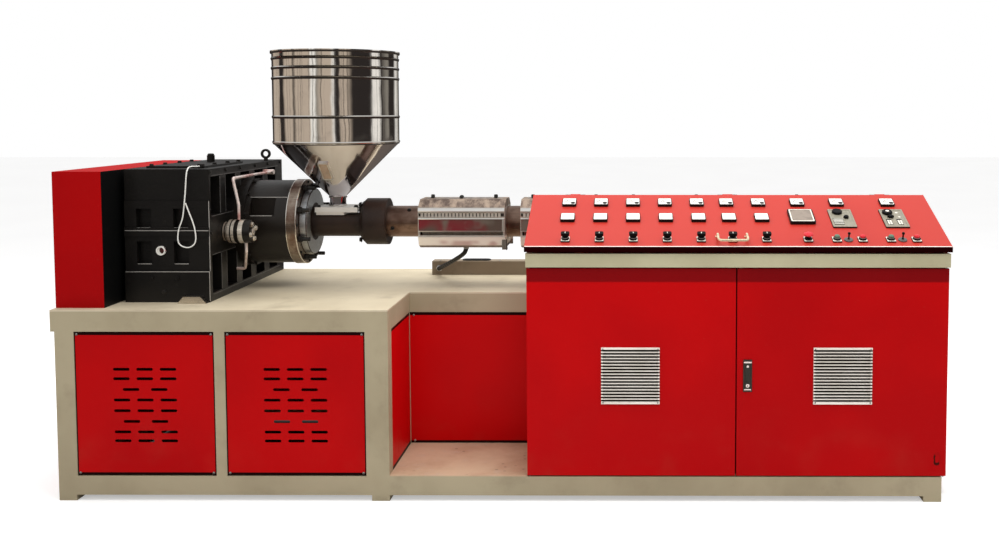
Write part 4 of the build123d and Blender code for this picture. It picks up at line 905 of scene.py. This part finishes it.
railEnds = {"wall": 6.0, "plate": 2.0, "clear": 0.3, "top": (645.0, 721.0), "bottom": (22.0, 95.0)}
openEnds = [(0.0, 1, 6, 60, "top"), (1266.0, -1, 6, 60, "top"), (0.0, 1, 980, 1049, "top"),
            (3345.0, -1, 980, 1049, "top"), (3345.0, -1, 406, 460, "top"), (15.0, 1, 6, 60, "bottom"),
            (3345.0, -1, 6, 60, "bottom"), (15.0, 1, 980, 1034, "bottom"), (3345.0, -1, 980, 1034, "bottom"),
            (3345.0, -1, 406, 460, "bottom")]
endPlates = []
clear = railEnds["clear"]
for x, inward, y0, y1, level in openEnds:
    xs = sorted((x + inward * clear, x + inward * (clear + railEnds["plate"])))
    low, high = railEnds[level]
    zs = (low + railEnds["wall"] - clear, high - railEnds["wall"] + clear)
    endPlates.append(box(*xs, y0 - clear, y1 + clear, *zs, 0.3))
piece("railEndPlates", endPlates, "machine", finishes["beige"])

recess = {"sheet": 402.0, "xs": (1282.0, 1768.0), "zs": (108.0, 632.0)}
recessSpots = [(x, recess["sheet"], z) for x in recess["xs"] for z in recess["zs"]]
piece("recessPanelScrews", [copies(screwHead, recessSpots)],
      "machine", finishes["zinc"])
backHead = facingBack(turned([(0, 0), (6.5, 0), (6.0, 2.0), (3.6, 3.0), (0, 3.2)], 16))
backX = (90, 640, 1195, 1280, 1755, 2230, 2320, 2800, 3270)
piece("rearPanelScrews", [copies(backHead, [(x, 1038.0, z) for x in backX for z in (112.0, 628.0)])],
      "machine", finishes["blackBolt"])
print("doors and panels dressed")

gear = {"left": 210.0, "right": 540.0, "front": 170.0, "baseFront": 162.0, "back": 1045.0, "floor": 727.0,
        "baseTop": 848.0, "parting": 1007.0, "ledge": 1122.0}
left, right, front, baseFront = (gear[key] for key in ("left", "right", "front", "baseFront"))
# pale strips along the gearbox's edges: rubbed bare metal, also painted highlight
edgeStrip = []
for z, y in ((gear["baseTop"] - 1.2, baseFront), (gear["parting"], front - 5)):
    edgeStrip.append(box(left + 3, right - 1, y - 0.7, y + 0.6, z - 1.4, z + 1.2, 0.3))
edgeStrip.append(box(right - 1.6, right + 0.5, baseFront - 0.5, baseFront + 1.5, gear["floor"] + 6,
                     gear["baseTop"], 0.3))
edgeStrip.append(box(right - 1.8, right + 0.5, front - 0.5, front + 1.5, gear["baseTop"], gear["ledge"], 0.3))
for x0, x1 in ((258, 312), (402, 456)):
    edgeStrip.append(box(x0, x1, front - 0.5, front + 1.2, 875.4, 877.8, 0.3))
    edgeStrip.append(box(x0, x1, front - 0.4, front + 1.2, 1017, 1018.6, 0.3))
# grey strips along the side ribs' edges and the side's ledges: painted highlights on the black casting
sideRibs = {"first": 286.0, "pitch": 166.0, "count": 4, "width": 58.0, "low": (759.0, 907.0),
            "high": (1063.0, 1215.0)}
ribEdges = []
for i in range(sideRibs["count"]):
    for y in sideRibs["first"] + i * sideRibs["pitch"] + np.array([1.0, sideRibs["width"] - 1.0]):
        for z0, z1 in (sideRibs["low"], sideRibs["high"]):
            ribEdges.append(box(right - 1.2, right + 0.6, y - 1.4, y + 1.4, z0 + 3, z1 - 3, 0.3))
for z in (sideRibs["low"][0] - 6, sideRibs["low"][1] + 2, sideRibs["high"][0] - 3, sideRibs["high"][1] + 3):
    ribEdges.append(box(right - 1.0, right + 0.6, front + 30, gear["back"] - 60, z - 1.0, z + 1.0, 0.3))
piece("gearboxRibEdgeHighlights", ribEdges, "machine", finishes["dullEdge"])
piece("gearboxWornEdgesAndHighlights", edgeStrip, "machine", finishes["wornEdgeAndHighlight"])

cover = {"x": 375.0, "top": 1253.0, "half": 115.0, "inset": 14.0, "rows": (276, 400, 540, 664),
         "breather": 620.0}
boltHead = hexHead(8.5, 8)
coverSpots = [(cover["x"] + a * (cover["half"] - cover["inset"]), y, cover["top"]) for a in (-1, 1)
              for y in cover["rows"]]
lugSpots = [(313.5, baseFront, 822.5), (414.5, baseFront, 822.5), (362.0, baseFront, 768.0)]
lug = [facingFront(grid) for grid in hexHead(8, 7, 0.3)]
sideSpots = [(right, y, z) for y in (188, 350, 512, 690, 852, 1014) for z in (995, 1234)]
sideHead = [alongX(grid) for grid in hexHead(7, 5)]
piece("gearboxBolts",
      [copies(grid, coverSpots) for grid in boltHead] + [copies(grid, sideSpots) for grid in sideHead],
      "machine", finishes["blackBolt"])
piece("gearboxPlugs", [copies(grid, lugSpots[:2]) for grid in lug], "machine",
      finishes["gearbox"])
piece("gearboxDrainPlug", [copies(grid, lugSpots[2:]) for grid in lug], "machine",
      finishes["blackBolt"])
breather = turned([(0, 1281), (13, 1281), (14, 1283), (13, 1287), (9, 1289), (0, 1289.6)], 24)
piece("breatherCap", [breather + np.array([cover["x"], cover["breather"], 0])],
      "machine", finishes["blackBolt"])
sight = {"x": 359.0, "z": 931.0, "face": 165.0}
pane = turned([(0, 0), (13, 0), (13, 1.5), (0, 2.2)], 28)
piece("sightPane", [onFront(pane, sight["x"], sight["face"], sight["z"])], "machine",
      finishes["sightDark"])
redDot = turned([(0, 0), (4.5, 0), (4.2, 3.0), (0, 3.2)], 16)
piece("sightRedMark", [onFront(redDot, sight["x"] + 8, sight["face"], sight["z"] - 1)],
      "machine", finishes["redCap"])

pump = {"x": 540.0, "y": 330.0, "z": 986.0, "radius": 47.0, "neck": 38.0, "face": 111.0, "circle": 31.0}


def onPump(profile, sides=40):
    # a profile of (radius, out) turned round the pump's level axis
    return alongX(turned(profile, sides)) + np.array([pump["x"], pump["y"], pump["z"]])


def pumpBand(radius, low, high):
    # a thin raised ring round the pump's body, its rims eased
    return onPump([(radius - 2, low), (radius + 0.7, low + 0.8), (radius + 0.7, high - 0.8),
                   (radius - 2, high), (radius - 2, low)])


bandEnds = [(pump["neck"], 2, 9), (pump["neck"], 12, 19), (pump["radius"], 21, 33),
            (pump["radius"], 37, 49.5), (pump["radius"], 64.5, 84)]
piece("pumpBands", [pumpBand(*ends) for ends in bandEnds], "machine", finishes["bandSteel"])
pumpBolts = [(pump["x"] + pump["face"], pump["y"] + pump["circle"] * math.cos(a),
              pump["z"] + pump["circle"] * math.sin(a)) for a in np.radians((20, 110, 200, 290))]
boss = onPump([(0, 111), (15, 111), (15, 115), (12, 117), (0, 117)], 24)
piece("pumpBolts", [copies(alongX(grid), pumpBolts) for grid in hexHead(9.5, 8)] + [boss],
      "machine", finishes["bandSteel"])
print("gearbox dressed")

line = {"y": 600.0, "z": 1000.0, "flange": 582.0, "flangeCircle": 180.0, "wall": 176.5, "ring": 753.0,
        "ringEnd": 797.0, "ringCircle": 168.0, "coupling": 1033.0, "couplingCircle": 84.0}


def onLine(profile, x, sides=64):
    # a profile of (radius, along) turned round the barrel's axis, counted from x
    return alongX(turned(profile, sides)) + np.array([x, line["y"], line["z"]])


def roundLine(x, radius, angles):
    # spots on a circle square to the barrel's axis: (y + r cos a, z + r sin a) at that x
    return [(x, line["y"] + radius * math.cos(a), line["z"] + radius * math.sin(a))
            for a in np.radians(angles)]


flangeRim = [(136, 2), (140.6, 3), (140.6, 27), (136, 30.6), (80, 30.6), (80, 29), (136, 2)]
piece("feedFlangeRim", [onLine(flangeRim, line["ringEnd"])], "machine",
      finishes["flangeSteel"])
piece("ringEdges", [onLine([(178, 0), (180.6, 1.2), (180.6, 4), (178, 4.6), (178, 0)], line["ring"]),
                    onLine([(178, 38), (180.6, 39.5), (180.6, 42), (178, 43.5), (178, 38)], line["ring"])],
      "machine", finishes["chromeBand"])
flangeSpots = roundLine(line["flange"], line["flangeCircle"], np.arange(12) * 30 + 15)
ringSpots = roundLine(line["ringEnd"], line["ringCircle"], np.arange(8) * 45)
piece("housingFlangeBolts",
      [copies(alongX(grid), flangeSpots) for grid in hexHead(7, 8)]
      + [copies(alongX(grid), ringSpots) for grid in hexHead(6, 5)],
      "machine", finishes["blackBolt"])
window = {"x0": 602.0, "x1": 705.0, "z0": 1040.0, "z1": 1112.0}
rimY = line["y"] - np.sqrt(line["wall"] ** 2 - (np.array([window["z0"], window["z1"]]) - line["z"]) ** 2)
# the window's rims in the rubbed-edge metal: worn edges, also painted highlight
piece("housingWindowRims", [
    box(window["x0"] - 4, line["ring"] - 2, rimY[1] - 1.0, rimY[1] + 4, window["z1"] - 0.5,
        window["z1"] + 2.4, 0.4),
    box(window["x0"] + 4, window["x1"] - 8, rimY[0] - 0.8, rimY[0] + 3, window["z0"] - 2.2,
        window["z0"] + 0.4, 0.4)],
    "machine", finishes["wornEdgeAndHighlight"])

ports = {"radius": 8.0, "reach": 9.0}
portSpots = [(1236.7, 561.0, 1051.8), (1169.0, 540.0, 976.0)]
port = facingFront(turned([(0, -8), (ports["radius"], -8), (ports["radius"], 5), (6, ports["reach"]),
                           (4, ports["reach"]), (4, 2), (0, 2)], 16))
piece("sensorPorts", [copies(port, portSpots)], "machine", finishes["blackBolt"])
couplingBolts = roundLine(line["coupling"], line["couplingCircle"], (62, 118, 242, 298))
couplingHeads = [-alongX(grid) * np.array([1, -1, -1]) for grid in hexHead(10, 9)]
piece("couplingBolts", [copies(grid, couplingBolts) for grid in couplingHeads],
      "machine", finishes["blackBolt"])
print("barrel line dressed")

heater = {"first": 1287.0, "pitch": 428.0, "count": 4, "length": 363.0, "front": 488.0, "tooth": 10.6,
          "toothPitch": 14.7, "axisY": 600.0, "top": 1099.0, "dome": 167.0, "bolts": (44.0, 313.0)}
heaterStarts = heater["first"] + heater["pitch"] * np.arange(heater["count"])


def bothSides(grids):
    # each grid, and the same mirrored to the back across the barrel's upright plane
    flip, shift = np.array([1, -1, 1]), np.array([0, 2 * heater["axisY"], 0])
    mirrored = [np.asarray(grid) * flip + shift for grid in grids]
    return list(grids) + mirrored


def perHeater(grid):
    # the same grid once at each heater's start
    return copies(grid, [(x, 0, 0) for x in heaterStarts])


def heaterStrips(name, outlines, low, high, finish, sharp=32):
    # outlines of (y, z) carried along every heater's cover from low to high, in front and mirrored behind
    grids = [perHeater(bentSheet(outline, low, high)) for outline in outlines]
    piece(name, bothSides(grids), "machine", finishes[finish], sharp)


f = heater["front"]
lip = [(f + 0.3, 1050), (f - 5.5, 1051), (f - 6.5, 1053), (f - 5.0, 1058), (f + 0.3, 1066.5)]
lowLip = [(f + 0.3, 1018), (f - 4, 1018.6), (f - 4.6, 1020.5), (f - 3.6, 1024), (f + 0.3, 1026)]
bandLip = [(f + 0.3, 966.6), (f - 2.4, 966.8), (f - 2.8, 968.6), (f + 0.3, 970.6)]
heaterLength = heater["length"]
heaterStrips("heaterLips", (lip, lowLip, bandLip), 1, heaterLength - 1, "casingBright", 25)
toothCount = int((heaterLength - 16) // heater["toothPitch"])
teeth = [(x + 12 + i * heater["toothPitch"], 0, 0) for x in heaterStarts for i in range(toothCount)]
tooth = bentSheet([(f + 0.2, 1026), (f - 3.4, 1026), (f - 2.6, 1043), (f + 0.2, 1045)], 0, heater["tooth"])
piece("heaterComb", bothSides([copies(tooth, teeth)]), "machine", finishes["casingBright"])
combShade = [(f + 0.2, 1031), (f - 0.7, 1031), (f - 0.7, 1044), (f + 0.2, 1044)]
bandPlate = [(f + 0.2, 971), (f - 0.9, 971.4), (f - 0.9, 1017.4), (f + 0.2, 1018)]
endStrip = [(f + 0.2, 968), (f - 2.2, 968), (f - 2.2, 1020), (f + 0.2, 1020)]
traySeam = [(f - 0.2, 948.4), (f - 1.6, 947.6), (f - 1.6, 944.6), (f - 0.2, 943.8)]
bracket = [(f - 2, 892), (f + 22, 892), (f + 22, 896), (f + 2, 896), (f + 2, 934), (f - 2, 934)]
stopEdge = [(f - 2.6, 890), (f - 0.4, 890), (f - 0.4, 936), (f - 2.6, 936)]
for name, outline, low, high, slot, finish in (
        ("heaterCombShadow", combShade, 3, heaterLength - 3, "stainless", "seamDark"),
        ("heaterBandPlates", bandPlate, 3, heaterLength - 12, "stainless", "bandReflection"),
        ("heaterEndStrips", endStrip, heaterLength - 9, heaterLength - 2, "stainless", "casingBright"),
        ("heaterTrayRims", traySeam, 0, heaterLength, "stainless", "casingBright"),
        ("heaterEndBrackets", bracket, heaterLength - 12, heaterLength + 9, "stainless", "chromeBand"),
        ("heaterBracketEdges", stopEdge, heaterLength + 6, heaterLength + 9.6, "black_steel", "seamDark")):
    heaterStrips(name, [outline], low, high, finish)
dome = turned([(0, 1099), (11, 1099), (11, 1102), (9, 1108), (5, 1112), (0, 1113)], 20)
capBolt = [grid + np.array([0, heater["axisY"], heater["top"]]) for grid in hexHead(8.5, 14)]
domeSpots = [(x + heater["dome"], heater["axisY"], 0) for x in heaterStarts]
boltSpots = [(x + shift, 0, 0) for x in heaterStarts for shift in heater["bolts"]]
piece("heaterTopBolts", [copies(dome, domeSpots)] + [copies(grid, boltSpots) for grid in capBolt],
      "machine", finishes["blackBolt"])
washerStrip = box(20, heaterLength - 20, heater["axisY"] - 9, heater["axisY"] + 9, heater["top"],
                  heater["top"] + 2, 1)
piece("heaterTopStrips", [perHeater(washerStrip)], "machine", finishes["casingBright"])
print("heaters dressed")

conduit = {"inset": 184.0, "drop": 164.0, "radius": 8.8, "rib": 0.9, "ribs": 46,
           "trunkY": 870.0, "trunkZ": 758.0, "gland": (600.0, 895.0)}
ribbed = []
for x in heaterStarts + conduit["inset"]:
    route = [(x, 600, 896), (x - 1, 601, 880), (x - 16, 622, 856), (x - 66, 694, 820), (x - 136, 796, 776),
             (x - 159, 836, conduit["trunkZ"] + 3), (x - conduit["drop"], 856, conduit["trunkZ"]),
             (x - conduit["drop"], 872, conduit["trunkZ"])]
    run = smoothPath(route, 28)
    phase = np.linspace(0, conduit["ribs"] * 2 * math.pi, len(run))
    wave = conduit["radius"] + conduit["rib"] * np.sin(phase)
    ribbed.append(tube(run, wave, 12, (1, 0, 0)))
ribbedConduits = piece("ribbedConduits", ribbed, "machine", finishes["rubber"], 60)
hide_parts("conduits")
glandX = heaterStarts + conduit["inset"] - conduit["drop"]
gland = facingFront(turned([(0, 0), (15, 0), (15, 5), (12, 6), (12, 16), (10.5, 18), (0, 18)], 6))
topGland = turned([(0, 0), (14, 0), (14, -6), (11.5, -8), (11.5, -14), (0, -14)], 6)
piece("conduitGlands", [copies(gland, [(x, conduit["trunkY"], conduit["trunkZ"]) for x in glandX]),
                        copies(topGland, [(x + conduit["inset"], *conduit["gland"]) for x in heaterStarts])],
      "machine", finishes["zinc"])
trunk = {"x": 1472.0, "y": 905.0, "top": 789.0, "screws": (1310, 3200, 270), "screwInset": 25.0}
grommet = pad(130, 40, 19.9, [(0, 0), (4, 0), (6, 2), (6, 7), (2, 9), (0.5, 9)], 8)
piece("trunkGrommet", [grommet + np.array([trunk["x"], trunk["y"], trunk["top"]])],
      "machine", finishes["rubber"])
trunkScrews = [(x, trunk["y"] - trunk["screwInset"], trunk["top"]) for x in np.arange(*trunk["screws"])]
piece("trunkLidScrews", [copies(turned([(0, 0), (5, 0), (4.4, 2), (0, 2.6)], 12), trunkScrews)],
      "machine", finishes["zinc"])
print("conduits laid")

hopper = {"x": 924.0, "y": 600.0, "radius": 260.0, "bottom": 1335.0, "neck": 1107.0,
          "neckFoot": 1066.0, "neckRadius": 34.0, "beads": (1690.0, 1650.0, 1608.0, 1448.0),
          "weldAt": 2.4, "weldEnds": (1340, 1712)}


def onHopper(profile, sides=96):
    # a profile of (radius, height) turned round the hopper's upright axis
    return turned(profile, sides) + np.array([hopper["x"], hopper["y"], 0])


wide = hopper["radius"]


def beadOn(outline):
    # an outline of (out from the drum's wall, height) carried round the drum
    return onHopper([(wide + out, height) for out, height in outline])


# the drum's seam beads in the dark seam paint: painted shade along each bead
seams = [beadOn([(-0.5, z - 9.0), (1.2, z - 8.6), (3.4, z - 3.0), (3.6, z - 0.4), (-0.5, z - 0.4),
                 (-0.5, z - 9.0)]) for z in hopper["beads"]]
seams.append(beadOn([(-0.5, 1331.5), (0.8, 1332), (0.8, 1335.2), (-0.5, 1335.6), (-0.5, 1331.5)]))
seams.append(beadOn([(2, 1708.6), (5.2, 1709.4), (6.3, 1712.6), (6.2, 1716), (4.2, 1719.6), (2, 1719.6),
                     (2, 1708.6)]))
piece("hopperSeams", seams, "machine", finishes["seamDark"])
bottomBead = beadOn([(-1, 1336), (2.6, 1337.5), (3.2, 1341), (2.4, 1344.5), (-1, 1346), (-1, 1336)])
piece("hopperBottomBead", [bottomBead], "machine", finishes["stainless"], 60)
weldX = hopper["x"] - wide * math.sin(hopper["weldAt"])
weldY = hopper["y"] - wide * math.cos(hopper["weldAt"])
weldLine = np.stack([np.full(40, weldX), np.full(40, weldY), np.linspace(*hopper["weldEnds"], 40)], -1)
piece("hopperUprightWeld", [tube(weldLine, 1.6, 8)], "machine", finishes["plate"])
coneSight = {"turn": 3.0, "middle": 1225.0, "width": 38.0, "length": 94.0, "screws": (19.5, 46.0, 7.2)}
wallAngle = math.atan2(hopper["bottom"] - hopper["neck"], wide - hopper["neckRadius"])
coneRadius = hopper["neckRadius"] + (coneSight["middle"] - hopper["neck"]) / math.tan(wallAngle)


def onCone(grid):
    # (across, down the slope, out) laid on the cone's front wall, then turned round the hopper's axis
    c, s = math.cos(wallAngle), math.sin(wallAngle)
    y = grid[..., 1] * c - grid[..., 2] * s - coneRadius
    z = -grid[..., 1] * s - grid[..., 2] * c + coneSight["middle"]
    turn = math.radians(-coneSight["turn"])
    ct, st = math.cos(turn), math.sin(turn)
    x = grid[..., 0] * ct - y * st
    y = grid[..., 0] * st + y * ct
    return np.stack([x + hopper["x"], y + hopper["y"], z], -1)


sightRing = frameRing(coneSight["width"] + 6, coneSight["length"] + 6, 3, 5, -4, 7.4)
piece("sightWindowFrame", [onCone(sightRing)],
      "machine", finishes["casingBright"])
screwAcross, screwDown, screwOut = coneSight["screws"]
sightScrews = [(a * screwAcross, b * screwDown, screwOut) for a in (-1, 1) for b in (-1, 0, 1)]
piece("sightWindowScrews", [onCone(copies(turned([(0, 0), (2.6, 0), (2.2, 1.6), (0, 2)], 10), sightScrews))],
      "machine", finishes["zinc"])
neckRing = [onHopper([(33.5, z), (38.5, z + 1), (38.5, z + 6), (33.5, z + 7), (33.5, z)], 40)
            for z in (hopper["neckFoot"] + 0.5, hopper["neck"] - 6)]
piece("neckRings", neckRing, "machine", finishes["stainless"])
plateSpots = [(x, y, hopper["neckFoot"]) for x in (860, 1018) for y in (532, 668)]
piece("hopperPlateBolts", [copies(grid, plateSpots) for grid in hexHead(8, 9)], "machine",
      finishes["blackBolt"])
print("hopper dressed")

studio = {"ceiling": 0.70, "turn": 0.7075, "wall": (0.56, 0.47, 0.39), "gap": (0.030, 0.025, 0.024),
          "lamp": (0.95, 0.93, 0.90), "dusk": (0.29, 0.27, 0.24), "below": (0.10, 0.08, 0.065)}

world = bpy.data.worlds.new("studio")
bpy.context.scene.world = world
world.use_nodes = True
sky = Paint.__new__(Paint)
sky.tree = world.node_tree
direction = sky.node("ShaderNodeTexCoord", output=0)
sky.place = direction
skyX, skyY, skyZ = (sky.node("ShaderNodeSeparateXYZ", None, {0: direction}, output=i) for i in range(3))
bearing = sky.node("ShaderNodeMath", {"operation": "ARCTAN2"}, {0: skyY, 1: skyX})
drift = 0.022 * (sky.noise(7, 3, 0.6) - 0.5)
turn = sky.fraction(bearing / (2 * math.pi) + studio["turn"] + drift)
wall, gap, lamp, dusk = studio["wall"], studio["gap"], studio["lamp"], studio["dusk"]
bars = sky.node("ShaderNodeValToRGB", {"stops": [
    (0.0, gap), (0.07, gap), (0.095, wall), (0.155, wall), (0.170, gap), (0.195, gap), (0.21, wall),
    (0.262, wall), (0.272, gap), (0.285, wall), (0.365, wall), (0.372, lamp), (0.395, lamp), (0.402, dusk),
    (0.425, wall), (0.472, wall), (0.486, lamp), (0.497, gap), (0.512, gap), (0.522, wall), (0.555, wall),
    (0.580, gap), (0.675, gap), (0.690, lamp), (0.735, lamp), (0.745, gap), (0.80, dusk), (0.815, gap),
    (0.86, gap), (0.885, lamp), (0.93, dusk), (0.95, gap)]}, {0: turn})
streaks = sky.between(sky.noise(30, 1, 0.4, (1.0, 1.0, 0.08)), 0.60, 0.635)
roomTone = sky.mix(streaks * 0.7, bars, gap)
ceiling = sky.between(skyZ, 0.14, 0.40)
lit = sky.mix(ceiling, roomTone, (studio["ceiling"],) * 3)
low = sky.between(skyZ, -0.34, -0.14, 1.0, 0.0)
lit = sky.mix(low, lit, studio["below"])
seen = sky.node("ShaderNodeLightPath")
lit = sky.mix(seen, lit, (1.0, 1.0, 1.0))
skyShader = world.node_tree.nodes["Background"]
sky.join(lit, skyShader.inputs["Color"])
skyShader.inputs["Strength"].default_value = 1.0


def softbox(name, place, aim, size, power):
    # a soft rectangular lamp turned to face its aim, unseen in polished faces
    lamp = bpy.data.lights.new(name, "AREA")
    lamp.shape = "RECTANGLE"
    lamp.size, lamp.size_y = size
    lamp.energy = power
    held = bpy.data.objects.new(name, lamp)
    held.location = place
    direction = np.array(aim, float) - np.array(place, float)
    yaw = math.atan2(direction[0], -direction[1])
    fall = math.atan2(math.hypot(direction[0], direction[1]), -direction[2])
    held.rotation_euler = (fall, 0, yaw + math.pi)
    held.visible_glossy = False
    bpy.context.scene.collection.objects.link(held)


softbox("keyLight", (1.6, -4.4, 3.4), (0.1, 0, 0.6), (3.4, 2.2), 18)
softbox("fillLight", (-3.2, -3.6, 2.2), (-0.3, 0, 0.7), (2.4, 2.2), 8)
softbox("topLight", (0.2, 0.2, 4.0), (0.1, 0.1, 0.6), (6.6, 3.6), 260)

# the floor is bright paper with a painted shadow under the machine, and polished steel sees a workshop floor
# in it
floorLook = {"paper": (0.80, 0.80, 0.80), "worn": (0.77, 0.77, 0.77), "under": (0.03, 0.027, 0.025),
             "workshop": (0.085, 0.068, 0.055), "halfX": 1.64, "halfY": 0.625, "fade": (-0.035, 0.14),
             "front": (-0.44, -0.36), "glow": 0.42, "reach": 30.0}
floorPaint = Paint("studioFloor", Roughness=0.85)
reflected = floorPaint.node("ShaderNodeLightPath", output=3)
worn = floorPaint.between(floorPaint.noise(0.8, 2), 0.3, 0.7)
paper = floorPaint.mix(worn, floorLook["paper"], floorLook["worn"])
straight = floorPaint.node("ShaderNodeLightPath", output=0)
aside = (floorPaint.size(floorPaint.axis("x")) - floorLook["halfX"]) * 1.6
behind = floorPaint.axis("y") - floorLook["halfY"]
past = floorPaint.between(floorPaint.larger(aside, behind), *floorLook["fade"])
inFront = floorPaint.between(floorPaint.axis("y"), *floorLook["front"], 1.0, 0.0)
clearOf = floorPaint.larger(past, inFront)
# painted shadow under the machine, fading out past its sides and back
paper = floorPaint.mix(clearOf, floorLook["under"], paper)
floorPaint.feed(Base_Color=floorPaint.mix(reflected, paper, floorLook["workshop"]),
                Emission_Color=floorPaint.mix(straight * clearOf, (0, 0, 0), (1, 1, 1)))
floorPaint.shader.inputs["Emission Strength"].default_value = floorLook["glow"]
reach = floorLook["reach"]
floorMesh = bpy.data.meshes.new("studioFloor")
floorMesh.from_pydata([(-reach, -reach, 0), (reach, -reach, 0), (reach, reach, 0), (-reach, reach, 0)], [],
                      [(0, 1, 2, 3)])
floorMesh.materials.append(floorPaint.material)
floor = bpy.data.objects.new("studioFloor", floorMesh)
bpy.context.scene.collection.objects.link(floor)
print("studio lit")
